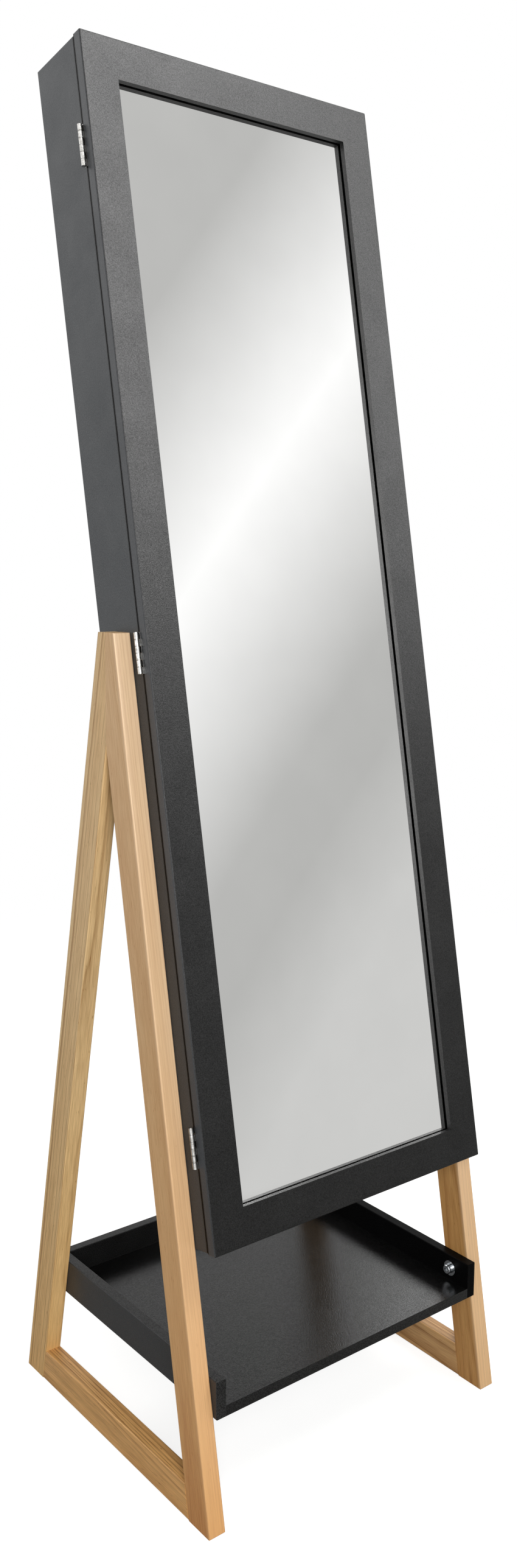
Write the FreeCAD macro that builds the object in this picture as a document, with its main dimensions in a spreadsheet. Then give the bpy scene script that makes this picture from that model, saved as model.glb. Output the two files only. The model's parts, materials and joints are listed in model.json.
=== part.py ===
import FreeCAD, Part
import os
import re
import Sketcher

# Jewelry cabinet with a mirror door, held between two A-frames that stand on the floor.
# Millimetres. +Z is up, the front faces -Y, +X is the viewer's right, and the floor is Z = 0.
# The carcass and the door lean back. Their pieces are drawn in a leaning frame of their own:
# X across, Y from the door's front face to the back, Z up along the lean from the door's lower edge.

SIZES = {
    # Side frames
    "stand_depth": 389,         # from the front foot's toe to the rear foot's heel
    "leg_thick": 20,
    "leg_wide": 38,
    "foot_rail_high": 38,
    "front_lean": 10.15,        # degrees, the front legs lean back
    "body_lean": 10.65,         # degrees, the carcass and the door lean back
    "frame_top": 908,
    "leg_ease": 1.5,
    # Painted boards
    "board_thick": 12,
    "board_ease": 1,
    # Tray
    "tray_base": 116,
    "tray_front": 16,           # behind the front foot's toe
    "tray_rear": 39.5,          # in front of the rear foot's heel
    "tray_high": 42,
    # Door
    "door_wide": 380,
    "door_high": 1228,
    "door_front": 15.8,         # lower edge, behind the front foot's toe
    "door_base": 293.6,         # lower edge, above the floor
    "stile_wide": 40,
    "top_rail_high": 42,
    "low_rail_high": 40,
    "door_ease": 1.5,
    "mirror_sunk": 6,
    "glass_thick": 3,
    "rebate_wide": 8,
    "glass_play": 1,
    # Carcass
    "door_gap": 2.6,
    "door_proud": 1,            # the door stands past the carcass by this much all round
    "carcass_deep": 76,
    "back_thick": 3,
    "back_lap": 6,
    "back_play": 0.5,
    # Fittings inside the carcass
    "shelf_thick": 9,
    "shelf_setback": 8,
    "rod_radius": 2,
    "rod_socket": 4,
    "guard_rise": 22,
    "earring_rod_gap": 2,       # in front of the bolts' washers
    "hook_rail_high": 40,
    "hook_rail_drop": 25,
    "peg_long": 26,
    "peg_radius": 2,
    "peg_ball": 3.4,
    "peg_flange": 5,
    "peg_flange_thick": 1.5,
    "peg_root": 8,
    "cushion_gap": 17,          # at each side
    "cushion_slab": 8,
    "cushion_rib_radius": 9.5,
    "cushion_rib_pitch": 18,
    "shelf_pin_radius": 2.5,
    "shelf_pin_long": 14,
    "shelf_pin_socket": 8,
    # Hinges
    "hinge_long": 42,
    "barrel_radius": 2.5,
    "barrel_gap": 0.8,          # outside the door's edge
    "pin_radius": 1.1,
    "pin_play": 0.05,
    "leaf_thick": 1,
    "leaf_gap": 1.6,
    "leaf_edge": 1,             # from the inner face of the carcass side
    "leaf_notch": 0.4,
    "knuckle_play": 0.4,
    "mortise_play": 0.2,
    "screw_radius": 1.3,
    "screw_head": 2.4,
    "screw_long": 10,
    # Catch and bumpers
    "catch_wide": 13,
    "catch_deep": 20,
    "catch_high": 40,
    "catch_play": 0.3,
    "magnet_wide": 6,
    "magnet_deep": 8,
    "magnet_high": 24,
    "strike_wide": 12,
    "strike_high": 36,
    "strike_thick": 1,
    "bumper_radius": 4,
    "bumper_play": 0.2,
    # Mirror clips and the round-headed screws
    "clip_long": 18,
    "clip_wide": 10,
    "clip_thick": 1.2,
    "clip_lap": 8,              # onto the backing board
    "round_head": 3,
    "round_head_high": 1.6,
    "clip_screw_long": 7,
    "back_screw_long": 14,
    "catch_screw_bite": 8,
    # Bolts
    "bolt_radius": 3,
    "bolt_end_gap": 1.6,        # short of the insert's end
    "bolt_head": 5.5,
    "bolt_head_high": 4,
    "bolt_head_ease": 0.8,
    "socket_radius": 2.9,       # to the corners of the hexagon
    "socket_deep": 2.4,
    "washer_radius": 9,
    "washer_thick": 1.5,
    "bolt_play": 0.2,
    "spring_washer_radius": 6,
    "spring_washer_thick": 1.6,
    "spring_washer_gap": 1,
    "insert_radius": 4.5,
    "insert_long": 12.5,
    # Dowels
    "dowel_radius": 4,
    "door_dowel_radius": 3,
    "dowel_long": 24,
    "tray_dowel_long": 20,
    "side_bite": 8,             # of a dowel, in a side board
    # One overrun for every cut that leaves through a face
    "overrun": 2,
}

KNUCKLES = 6
CUSHION_RIBS = 6
PEGS = 10
hinge_height_shares = (0.089, 0.495, 0.909)
leaf_screw_shares = (0.25, 0.75)
lower_shelf_share = 0.155
upper_shelf_share = 0.29
cushion_height_share = 0.32
earring_height_shares = (0.47, 0.54, 0.61)
peg_spread_share = 0.88
frame_bolt_shares = (0.1925, 0.95)
clip_height_shares = (0.12, 0.37, 0.63, 0.88)
bumper_height_shares = (0.05, 0.95)
catch_height_share = 0.5
dowel_spread_shares = (0.28, 0.72)
mitre_dowel_shares = (0.3, 0.75)
back_screw_side_shares = (0.02, 0.34, 0.66, 0.98)
back_screw_cross_shares = (0.3, 0.7)
catch_screw_shares = (0.15, 0.85)
tray_bolt_share = 0.63
shelf_pin_shares = (0.2, 0.8)
notch_share = 3.124             # of a leg's width, from the frame's top down to the notch

# The rear legs stand on the heel and close the notch, and their lean follows from that
WORKED_OUT = {
    "notch_high": f"=frame_top - {notch_share} * leg_wide",
    "heel_run": "=stand_depth - leg_wide / cos(front_lean) - notch_high * tan(front_lean)",
    "rear_lean": "=acos(leg_wide / sqrt(heel_run ^ 2 + notch_high ^ 2)) - atan(notch_high / heel_run)",
}

doc = FreeCAD.newDocument("jewelry_cabinet")
sizes = doc.addObject("Spreadsheet::Sheet", "sizes")
for row, (alias, value) in enumerate([*SIZES.items(), *WORKED_OUT.items()], 1):
    sizes.set(f"A{row}", alias)
    sizes.set(f"B{row}", str(value))
    sizes.setAlias(f"B{row}", alias)
doc.recompute()

ALIASES = re.compile(r"\b(" + "|".join([*SIZES, *WORKED_OUT]) + r")\b")
ALONG_X = FreeCAD.Rotation(FreeCAD.Vector(0, 1, 0), 90)
AGAINST_X = FreeCAD.Rotation(FreeCAD.Vector(0, 1, 0), -90)
ALONG_Y = FreeCAD.Rotation(FreeCAD.Vector(1, 0, 0), -90)
AGAINST_Y = FreeCAD.Rotation(FreeCAD.Vector(1, 0, 0), 90)
UPRIGHT = FreeCAD.Rotation()
NORMALS = {"XY_Plane": (0, 1, 2, 1), "XZ_Plane": (0, 2, 1, -1), "YZ_Plane": (1, 2, 0, 1)}
NEAR = 1e-4

# Places that several pieces share, as expressions of the driving sizes

TOE = "(-stand_depth / 2)"
HEEL = "(stand_depth / 2)"
FRONT_SLOPE = "tan(front_lean)"
REAR_SLOPE = "tan(rear_lean)"
FRONT_LEG_RUN = "(leg_wide / cos(front_lean))"
REAR_LEG_RUN = "(leg_wide / cos(rear_lean))"
NOTCH_Y = f"({HEEL} - heel_run)"
TOP_FRONT_Y = f"({TOE} + frame_top * {FRONT_SLOPE})"
TOP_REAR_Y = f"({HEEL} - frame_top * {REAR_SLOPE})"
TOP_MID_Y = f"(({TOP_FRONT_Y} + {TOP_REAR_Y}) / 2)"
CARCASS_HALF = "(door_wide / 2 - door_proud)"
INNER_HALF = f"({CARCASS_HALF} - board_thick)"
FRAME_HALF = f"({CARCASS_HALF} + leg_thick)"
CARCASS_LOW = "door_proud"
CARCASS_HIGH = "(door_high - door_proud)"
CARCASS_TALL = f"({CARCASS_HIGH} - {CARCASS_LOW})"
CARCASS_FRONT = "(board_thick + door_gap)"
CARCASS_BACK = f"({CARCASS_FRONT} + carcass_deep)"
PANEL_FRONT = f"({CARCASS_BACK} - back_thick)"
SHELF_FRONT = f"({CARCASS_FRONT} + shelf_setback)"
LEG_SETBACK = "(door_base * sin(front_lean) - door_front * cos(front_lean))"
LEG_TURN = "(body_lean - front_lean)"
NOTCH_UP = f"((notch_high - door_base + {LEG_SETBACK} * sin(body_lean)) / cos(body_lean))"
BARREL_OUT = "(door_proud + barrel_gap + barrel_radius)"
HINGE_X = f"(-{CARCASS_HALF} - {BARREL_OUT})"
HINGE_Y = "(board_thick + door_gap / 2)"
LEAF_END = f"({BARREL_OUT} + board_thick - leaf_edge)"
LEAF_MID = f"(({BARREL_OUT} + {LEAF_END}) / 2)"
GLASS_X = "(door_wide / 2 - stile_wide + rebate_wide - glass_play)"
GLASS_LOW = "(low_rail_high - rebate_wide + glass_play)"
GLASS_HIGH = "(door_high - top_rail_high + rebate_wide - glass_play)"
GLASS_BACK = "(mirror_sunk + glass_thick)"
STILE_INNER = "(door_wide / 2 - stile_wide)"
REBATE_X = f"({STILE_INNER} + rebate_wide)"
REBATE_LOW = "(low_rail_high - rebate_wide)"
REBATE_HIGH = "(door_high - top_rail_high + rebate_wide)"
CLIP_END = f"({GLASS_X} - clip_lap + clip_long)"
CLIP_SCREW_X = f"(({REBATE_X} + {CLIP_END}) / 2)"
CATCH_FRONT = "(board_thick + strike_thick + catch_play)"
CATCH_LEFT = f"({INNER_HALF} - catch_wide)"
CATCH_X = f"({CATCH_LEFT} + catch_wide / 2)"
CATCH_Z = f"({catch_height_share} * door_high)"
TRAY_FRONT_Y = f"({TOE} + tray_front)"
TRAY_REAR_Y = f"({HEEL} - tray_rear)"
TRAY_TOP = "(tray_base + tray_high)"
TRAY_MID_Z = "(tray_base + tray_high / 2)"
HOOK_RAIL_HIGH = f"({CARCASS_HIGH} - board_thick - hook_rail_drop)"
HOOK_RAIL_FRONT = f"({PANEL_FRONT} - board_thick)"
LEG_MID_X = f"({CARCASS_HALF} + leg_thick / 2)"
WASHER_X = f"({INNER_HALF} - washer_thick)"
BOLT_X = f"({WASHER_X} - spring_washer_thick)"
BOLT_LONG = f"({CARCASS_HALF} + insert_long - bolt_end_gap - {BOLT_X})"
CUSHION_HALF = f"({INNER_HALF} - cushion_gap)"


def bound(expression):
    """The expression with each size read from the sheet."""
    return ALIASES.sub(r"sizes.\1", str(expression))


def number(expression):
    """What the expression comes to now."""
    return float(sizes.evalExpression(bound(expression)))


def at_share(share, low, high):
    """The place a share of the way from low to high."""
    return f"(({low}) + {share} * (({high}) - ({low})))"


def leaned(back, up):
    """Y and Z in the room of a point of the leaning frame."""
    return (f"({TOE} + door_front + ({back}) * cos(body_lean) + ({up}) * sin(body_lean))",
            f"(door_base + ({up}) * cos(body_lean) - ({back}) * sin(body_lean))")


def lean(piece):
    """Stand a piece that is drawn in the leaning frame in its place in the room."""
    piece.Placement.Rotation = FreeCAD.Rotation(FreeCAD.Vector(1, 0, 0), -number("body_lean"))
    piece.setExpression("Placement.Rotation.Angle", bound("-1deg * body_lean"))
    piece.setExpression("Placement.Base.y", bound(f"{TOE} + door_front"))
    piece.setExpression("Placement.Base.z", bound("door_base"))


def new_body(label, leans=False):
    body = doc.addObject("PartDesign::Body", label)
    body.Label = label
    if leans:
        lean(body)
    return body


def new_sketch(body, name, plane, at):
    """A sketch on one of the body's own origin planes, moved along the axis that it faces."""
    support = next(item for item in body.Origin.OriginFeatures if item.Role == plane)
    sketch = body.newObject("Sketcher::SketchObject", name)
    sketch.AttachmentSupport = (support, "")
    sketch.MapMode = "FlatFace"
    sketch.setExpression("AttachmentOffset.Base.z", bound(f"{NORMALS[plane][3]} * ({at})"))
    return sketch


def place_point(sketch, element, point, across, up):
    """Tie a point of the sketch to its place."""
    for kind, place in (("DistanceX", across), ("DistanceY", up)):
        constraint = Sketcher.Constraint(kind, -1, 1, element, point, number(place))
        sketch.setExpression(f"Constraints[{sketch.addConstraint(constraint)}]", bound(place))


def draw_outline(sketch, corners):
    """A closed outline of straight edges through the corners."""
    points = [FreeCAD.Vector(number(across), number(up), 0) for across, up in corners]
    for start, end in zip(points, points[1:] + points[:1]):
        sketch.addGeometry(Part.LineSegment(start, end), False)
    for edge in range(len(points)):
        sketch.addConstraint(Sketcher.Constraint("Coincident", edge, 2, (edge + 1) % len(points), 1))
    for edge, (across, up) in enumerate(corners):
        place_point(sketch, edge, 1, across, up)


def draw_circles(sketch, spots, radius):
    """A circle of one radius at each spot."""
    for element, (across, up) in enumerate(spots):
        centre = FreeCAD.Vector(number(across), number(up), 0)
        sketch.addGeometry(Part.Circle(centre, FreeCAD.Vector(0, 0, 1), number(radius)), False)
        place_point(sketch, element, 3, across, up)
        constraint = sketch.addConstraint(Sketcher.Constraint("Radius", element, number(radius)))
        sketch.setExpression(f"Constraints[{constraint}]", bound(radius))


def extrude(kind, body, sketch, start, stop):
    """Pad or pocket half each way from a sketch that lies midway between start and stop."""
    feature = body.newObject(f"PartDesign::{kind}", kind.lower())
    feature.Profile = sketch
    feature.SideType = "Symmetric"
    feature.setExpression("Length", bound(f"({stop}) - ({start})"))
    return feature


def pad_outline(body, plane, corners, start, stop):
    sketch = new_sketch(body, "outline", plane, f"(({start}) + ({stop})) / 2")
    draw_outline(sketch, corners)
    return extrude("Pad", body, sketch, start, stop)


def cut_outline(body, plane, corners, start, stop):
    sketch = new_sketch(body, "recess_outline", plane, f"(({start}) + ({stop})) / 2")
    draw_outline(sketch, corners)
    return extrude("Pocket", body, sketch, start, stop)


def drill(body, plane, spots, radius, start, stop):
    """Round holes square to the plane, from start to stop."""
    sketch = new_sketch(body, "hole_circles", plane, f"(({start}) + ({stop})) / 2")
    draw_circles(sketch, spots, radius)
    return extrude("Pocket", body, sketch, start, stop)


def rectangle(left, low, right, high):
    return [(left, low), (right, low), (right, high), (left, high)]


def corners_on(plane, low, high):
    """The rectangle that a box between two corners shows on the plane."""
    across, up = NORMALS[plane][:2]
    return rectangle(low[across], low[up], high[across], high[up])


def board(label, plane, low, high, leans=True):
    """A flat board between two corners, drawn on the plane of its broad face."""
    body = new_body(label, leans)
    depth = NORMALS[plane][2]
    pad_outline(body, plane, corners_on(plane, low, high), low[depth], high[depth])
    return body


def recess(body, plane, low, high):
    """A square-cornered recess between two corners."""
    depth = NORMALS[plane][2]
    cut_outline(body, plane, corners_on(plane, low, high), low[depth], high[depth])


def level(axis, place):
    """The plane square to an axis at a place."""
    return FreeCAD.Vector(*[float(axis == name) for name in "xyz"]), number(place)


def sloped(foot, slope):
    """The plane that holds a leg's edge face: it meets the floor at foot and runs back with slope."""
    return FreeCAD.Vector(0, 1, -number(slope)), number(foot)


def ease(body, radius, plane_pairs):
    """Round each edge that lies in both planes of a pair."""
    doc.recompute()
    base = body.Tip

    def lies_in(edge, plane):
        normal, distance = plane
        return all(abs(vertex.Point.dot(normal) - distance) < NEAR for vertex in edge.Vertexes)

    names = [f"Edge{index}" for index, edge in enumerate(base.Shape.Edges, 1)
             if any(lies_in(edge, first) and lies_in(edge, second) for first, second in plane_pairs)]
    rounded = body.newObject("PartDesign::Fillet", "eased_edges")
    rounded.Base = (base, names)
    rounded.setExpression("Radius", bound(radius))


def turned(name, profile):
    """A solid of revolution about Z. The profile holds a radius and a height at each corner."""
    body = doc.addObject("PartDesign::Body", name)
    sketch = new_sketch(body, "profile", "XZ_Plane", 0)
    draw_outline(sketch, profile)
    revolution = body.newObject("PartDesign::Revolution", "revolution")
    revolution.Profile = sketch
    revolution.ReferenceAxis = (sketch, ["V_Axis"])
    revolution.Angle = 360
    return body


def primitive(kind, name, place, turn=UPRIGHT, **measures):
    """A primitive solid with its measures and place bound to the sheet."""
    piece = doc.addObject(f"Part::{kind}", name)
    piece.Placement.Rotation = turn
    for measure, expression in measures.items():
        piece.setExpression(measure, bound(expression))
    for axis, expression in zip("xyz", place):
        piece.setExpression(f"Placement.Base.{axis}", bound(expression))
    return piece


def box(name, low, high):
    """A primitive box between two corners."""
    measures = {measure: f"({end}) - ({start})"
                for measure, start, end in zip(("Length", "Width", "Height"), low, high)}
    return primitive("Box", name, low, **measures)


def combine(kind, name, pieces):
    """Fuse pieces, or bundle them as a group of separate solids."""
    whole = doc.addObject(f"Part::{kind}", name)
    setattr(whole, "Links" if kind == "Compound" else "Shapes", pieces)
    return whole


def cut_away(name, base, tools):
    """The base with the tools' room taken out of it."""
    result = doc.addObject("Part::Cut", name)
    result.Base = base
    result.Tool = combine("Compound", f"{name}_tools", tools)
    return result


def copies(label, pattern, spots, leans=True):
    """A group of copies of one solid. Each spot is a place and a turn."""
    links = []
    for place, turn in spots:
        link = doc.addObject("App::Link", f"{label}_copy")
        link.LinkedObject = pattern
        link.Placement.Rotation = turn
        for axis, expression in zip("xyz", place):
            link.setExpression(f"Placement.Base.{axis}", bound(expression))
        links.append(link)
    group = combine("Compound", label, links)
    group.Label = label
    if leans:
        lean(group)
    return group


# Places where fasteners go, worked out once for the holes and for what sits in them

def side_x(side, distance):
    """X at a distance from the middle, on the left for -1 and on the right for 1."""
    return f"({side} * ({distance}))"


def span(side, near, far):
    """X from near to far of the middle on one side, the lower place first."""
    return (f"({near})", f"({far})") if side > 0 else (f"-({far})", f"-({near})")


def outward(side):
    """The turn that points a fastener away from the middle."""
    return ALONG_X if side > 0 else AGAINST_X


def leg_centre(up):
    """Y of a front leg's middle at a height, both in the leaning frame."""
    return f"(({LEG_SETBACK} + leg_wide / 2 - ({up}) * sin({LEG_TURN})) / cos({LEG_TURN}))"


def frame_bolt_spots():
    """Y and Z, in the leaning frame, of the bolts into each front leg, all below the notch."""
    heights = [at_share(share, CARCASS_LOW, NOTCH_UP) for share in frame_bolt_shares]
    return [(leg_centre(height), height) for height in heights]


def tray_bolt_spot():
    """Y and Z of the tray bolt, at the middle of the front leg."""
    height = at_share(tray_bolt_share, "tray_base", TRAY_TOP)
    return f"({TOE} + {height} * {FRONT_SLOPE} + {FRONT_LEG_RUN} / 2)", height


def tray_dowel_spot():
    """Y and Z of the tray's rear dowel, midway between the rear leg's front edge and the tray's end."""
    leg_edge = f"({HEEL} - {REAR_LEG_RUN} - {TRAY_MID_Z} * {REAR_SLOPE})"
    return f"(({leg_edge} + {TRAY_REAR_Y}) / 2)", TRAY_MID_Z


def rail_dowel_spots(front):
    """Y and Z where the dowels cross the joint between a leg and the foot rail."""
    spots = []
    for share in dowel_spread_shares:
        height = f"({share} * foot_rail_high)"
        joint = (f"({TOE} + {FRONT_LEG_RUN} + {height} * {FRONT_SLOPE})" if front
                 else f"({HEEL} - {REAR_LEG_RUN} - {height} * {REAR_SLOPE})")
        spots.append((joint, height))
    return spots


def mitre_dowel_spots():
    """Y and Z where the dowels cross the mitre between the two legs."""
    return [(at_share(share, NOTCH_Y, TOP_MID_Y), at_share(share, "notch_high", "frame_top"))
            for share in mitre_dowel_shares]


def carcass_dowel_spots():
    """Y and Z, in the leaning frame, of the dowels between the sides and the top and bottom."""
    heights = (f"({CARCASS_LOW} + board_thick / 2)", f"({CARCASS_HIGH} - board_thick / 2)")
    return [(at_share(share, CARCASS_FRONT, CARCASS_BACK), height)
            for height in heights for share in dowel_spread_shares]


def door_dowel_heights():
    """Z of the dowels between the stiles and each rail, clear of the rebate."""
    low = [f"({share} * {REBATE_LOW})" for share in dowel_spread_shares]
    high = [at_share(share, REBATE_HIGH, "door_high") for share in dowel_spread_shares]
    return low, high


def back_screw_spots():
    """X and Z of the screws around the back panel, in the middle of its lap."""
    edge_x = f"({INNER_HALF} + back_lap / 2)"
    low = f"({CARCASS_LOW} + board_thick - back_lap / 2)"
    high = f"({CARCASS_HIGH} - board_thick + back_lap / 2)"
    sides = [(side_x(side, edge_x), at_share(share, low, high))
             for side in (-1, 1) for share in back_screw_side_shares]
    cross = [(at_share(share, f"-{edge_x}", edge_x), height)
             for height in (low, high) for share in back_screw_cross_shares]
    return sides, cross


def shelf_heights():
    """Z of the underside of each shelf."""
    return [at_share(share, CARCASS_LOW, CARCASS_HIGH) for share in (lower_shelf_share, upper_shelf_share)]


def guard_rod_spots():
    """Y and Z of the rods that keep things on the bottom board and on the shelves."""
    floors = [f"({CARCASS_LOW} + board_thick)"] + [f"({height} + shelf_thick)" for height in shelf_heights()]
    return [(f"({SHELF_FRONT} + rod_radius)", f"({floor} + guard_rise)") for floor in floors]


def earring_rod_spots():
    """Y and Z of the rods that earrings hang on, in front of the upper bolts."""
    bolt_back = frame_bolt_spots()[-1][0]
    back = f"({bolt_back} - washer_radius - earring_rod_gap - rod_radius)"
    return [(back, at_share(share, CARCASS_LOW, CARCASS_HIGH)) for share in earring_height_shares]


def shelf_pin_spots():
    """Y and Z of the pins that carry the shelves."""
    return [(at_share(share, SHELF_FRONT, PANEL_FRONT), f"({height} - shelf_pin_radius)")
            for height in shelf_heights() for share in shelf_pin_shares]


def catch_screw_spots():
    """Y and Z of the two screws that hold the catch."""
    return [(f"({CATCH_FRONT} + catch_deep / 2)", at_share(share, f"{CATCH_Z} - catch_high / 2",
                                                           f"{CATCH_Z} + catch_high / 2"))
            for share in catch_screw_shares]


def hinge_heights():
    """Z of the lower end of each hinge."""
    return [f"({share} * door_high - hinge_long / 2)" for share in hinge_height_shares]


def hinge_screw_spots():
    """X and Z of the screws of every hinge leaf."""
    return [(f"({HINGE_X} + {LEAF_MID})", f"({height} + {share} * hinge_long)")
            for height in hinge_heights() for share in leaf_screw_shares]


def mortises(body, front, back):
    """The shallow recesses that the hinge leaves lie in, open at the outer side."""
    for height in hinge_heights():
        recess(body, "XZ_Plane", ("-door_wide / 2 - overrun", front, f"{height} - mortise_play"),
               (f"{HINGE_X} + {LEAF_END} + mortise_play", back, f"{height} + hinge_long + mortise_play"))


# Side frames

def side_frame_piece(side, label, corners, joints):
    """A piece of a side frame, with holes for the dowels that cross its joints."""
    body = new_body(label)
    pad_outline(body, "YZ_Plane", corners, *span(side, CARCASS_HALF, FRAME_HALF))
    for joint, height in joints:
        drill(body, "XZ_Plane", [(side_x(side, LEG_MID_X), height)], "dowel_radius",
              f"{joint} - dowel_long / 2", f"{joint} + dowel_long / 2")
    return body


def ease_leg(body, side, outer, inner):
    """Round a leg's long edges, and both ends of its outer edge."""
    faces = [level("x", place) for place in span(side, CARCASS_HALF, FRAME_HALF)]
    ease(body, "leg_ease", [(edge, face) for edge in (outer, inner) for face in faces]
         + [(outer, level("z", 0)), (outer, level("z", "frame_top"))])


def front_leg(side, label):
    corners = [(TOE, 0), (f"({TOE} + {FRONT_LEG_RUN})", 0), (NOTCH_Y, "notch_high"),
               (TOP_MID_Y, "frame_top"), (TOP_FRONT_Y, "frame_top")]
    body = side_frame_piece(side, label, corners, rail_dowel_spots(front=True) + mitre_dowel_spots())
    bolts = [leaned(*spot) for spot in frame_bolt_spots()] + [tray_bolt_spot()]
    drill(body, "YZ_Plane", bolts, "insert_radius",
          *span(side, f"{CARCASS_HALF} - overrun", f"{CARCASS_HALF} + insert_long"))
    ease_leg(body, side, sloped(TOE, FRONT_SLOPE), sloped(f"{TOE} + {FRONT_LEG_RUN}", FRONT_SLOPE))
    return body


def rear_leg(side, label):
    corners = [(f"({HEEL} - {REAR_LEG_RUN})", 0), (HEEL, 0), (TOP_REAR_Y, "frame_top"),
               (TOP_MID_Y, "frame_top"), (NOTCH_Y, "notch_high")]
    body = side_frame_piece(side, label, corners, rail_dowel_spots(front=False) + mitre_dowel_spots())
    drill(body, "YZ_Plane", [tray_dowel_spot()], "dowel_radius",
          *span(side, f"{CARCASS_HALF} - overrun", f"{CARCASS_HALF} + tray_dowel_long - side_bite"))
    slope = f"-{REAR_SLOPE}"
    ease_leg(body, side, sloped(HEEL, slope), sloped(f"{HEEL} - {REAR_LEG_RUN}", slope))
    return body


def foot_rail(side, label):
    front_foot = f"({TOE} + {FRONT_LEG_RUN})"
    rear_foot = f"({HEEL} - {REAR_LEG_RUN})"
    corners = [(front_foot, 0), (rear_foot, 0),
               (f"({rear_foot} - foot_rail_high * {REAR_SLOPE})", "foot_rail_high"),
               (f"({front_foot} + foot_rail_high * {FRONT_SLOPE})", "foot_rail_high")]
    joints = rail_dowel_spots(front=True) + rail_dowel_spots(front=False)
    body = side_frame_piece(side, label, corners, joints)
    ease(body, "leg_ease", [(level("z", height), level("x", face)) for height in (0, "foot_rail_high")
                            for face in span(side, CARCASS_HALF, FRAME_HALF)])
    return body


# Tray

def tray_side_wall(side, label):
    start, stop = span(side, INNER_HALF, CARCASS_HALF)
    body = board(label, "YZ_Plane", (start, TRAY_FRONT_Y, "tray_base"), (stop, TRAY_REAR_Y, TRAY_TOP),
                 leans=False)
    drill(body, "YZ_Plane", [tray_bolt_spot()], "bolt_radius + bolt_play",
          f"{start} - overrun", f"{stop} + overrun")
    drill(body, "YZ_Plane", [tray_dowel_spot()], "dowel_radius",
          *span(side, f"{CARCASS_HALF} - side_bite", f"{CARCASS_HALF} + overrun"))
    inside, outside = level("x", side_x(side, INNER_HALF)), level("x", side_x(side, CARCASS_HALF))
    top = level("z", TRAY_TOP)
    ends = [level("y", TRAY_FRONT_Y), level("y", TRAY_REAR_Y)]
    ease(body, "board_ease", [(outside, top), (inside, top), (outside, level("z", "tray_base"))]
         + [(outside, end) for end in ends])
    return body


def tray_floor(label):
    return board(label, "XY_Plane", (f"-{INNER_HALF}", TRAY_FRONT_Y, "tray_base"),
                 (INNER_HALF, f"{TRAY_REAR_Y} - board_thick", "tray_base + board_thick"), leans=False)


def tray_back_wall(label):
    body = board(label, "XZ_Plane", (f"-{INNER_HALF}", f"{TRAY_REAR_Y} - board_thick", "tray_base"),
                 (INNER_HALF, TRAY_REAR_Y, TRAY_TOP), leans=False)
    ease(body, "board_ease", [(level("z", TRAY_TOP), level("y", TRAY_REAR_Y)),
                              (level("z", TRAY_TOP), level("y", f"{TRAY_REAR_Y} - board_thick"))])
    return body


# Carcass

def carcass_side(side, label):
    start, stop = span(side, INNER_HALF, CARCASS_HALF)
    inner_face, outer_face = side_x(side, INNER_HALF), side_x(side, CARCASS_HALF)
    body = board(label, "YZ_Plane", (start, CARCASS_FRONT, CARCASS_LOW), (stop, CARCASS_BACK, CARCASS_HIGH))
    lap_low, lap_high = span(side, f"{INNER_HALF} - overrun", f"{INNER_HALF} + back_lap")
    recess(body, "YZ_Plane",
           (lap_low, PANEL_FRONT, f"{CARCASS_LOW} + board_thick - back_lap"),
           (lap_high, f"{CARCASS_BACK} + overrun", f"{CARCASS_HIGH} - board_thick + back_lap"))
    drill(body, "YZ_Plane", frame_bolt_spots(), "bolt_radius + bolt_play",
          f"{start} - overrun", f"{stop} + overrun")
    sockets = ((carcass_dowel_spots(), "dowel_radius", "side_bite"),
               (guard_rod_spots() + earring_rod_spots(), "rod_radius", "rod_socket"),
               (shelf_pin_spots(), "shelf_pin_radius", "shelf_pin_socket"))
    for spots, radius, depth in sockets:
        drill(body, "YZ_Plane", spots, radius,
              *span(side, f"{INNER_HALF} - overrun", f"{INNER_HALF} + {depth}"))
    screws = [spot for spot in back_screw_spots()[0] if number(spot[0]) * side > 0]
    drill(body, "XZ_Plane", screws, "screw_radius",
          f"{CARCASS_BACK} - back_screw_long", f"{CARCASS_BACK} + overrun")
    if side < 0:
        mortises(body, f"{CARCASS_FRONT} - overrun", f"{HINGE_Y} + leaf_gap / 2 + leaf_thick")
        drill(body, "XZ_Plane", hinge_screw_spots(), "screw_radius",
              CARCASS_FRONT, f"{HINGE_Y} + screw_long")
    else:
        drill(body, "YZ_Plane", catch_screw_spots(), "screw_radius",
              f"{inner_face} - overrun", f"{inner_face} + catch_screw_bite")
    ease(body, "board_ease", [(level("x", outer_face), level("y", CARCASS_BACK)),
                              (level("x", outer_face), level("z", CARCASS_HIGH)),
                              (level("x", outer_face), level("z", CARCASS_LOW))])
    return body


def carcass_end(label, low, high, lap_low, lap_high):
    """The top or the bottom board. The back panel laps onto it between lap_low and lap_high."""
    body = board(label, "XY_Plane", (f"-{INNER_HALF}", CARCASS_FRONT, low),
                 (INNER_HALF, CARCASS_BACK, high))
    recess(body, "XY_Plane", (f"-{INNER_HALF} - overrun", PANEL_FRONT, lap_low),
           (f"{INNER_HALF} + overrun", f"{CARCASS_BACK} + overrun", lap_high))
    dowels = [spot for spot in carcass_dowel_spots() if number(low) < number(spot[1]) < number(high)]
    for side in (-1, 1):
        drill(body, "YZ_Plane", dowels, "dowel_radius",
              *span(side, f"{INNER_HALF} + side_bite - dowel_long", f"{INNER_HALF} + overrun"))
    screws = [spot for spot in back_screw_spots()[1] if number(low) < number(spot[1]) < number(high)]
    drill(body, "XZ_Plane", screws, "screw_radius",
          f"{CARCASS_BACK} - back_screw_long", f"{CARCASS_BACK} + overrun")
    return body


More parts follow.
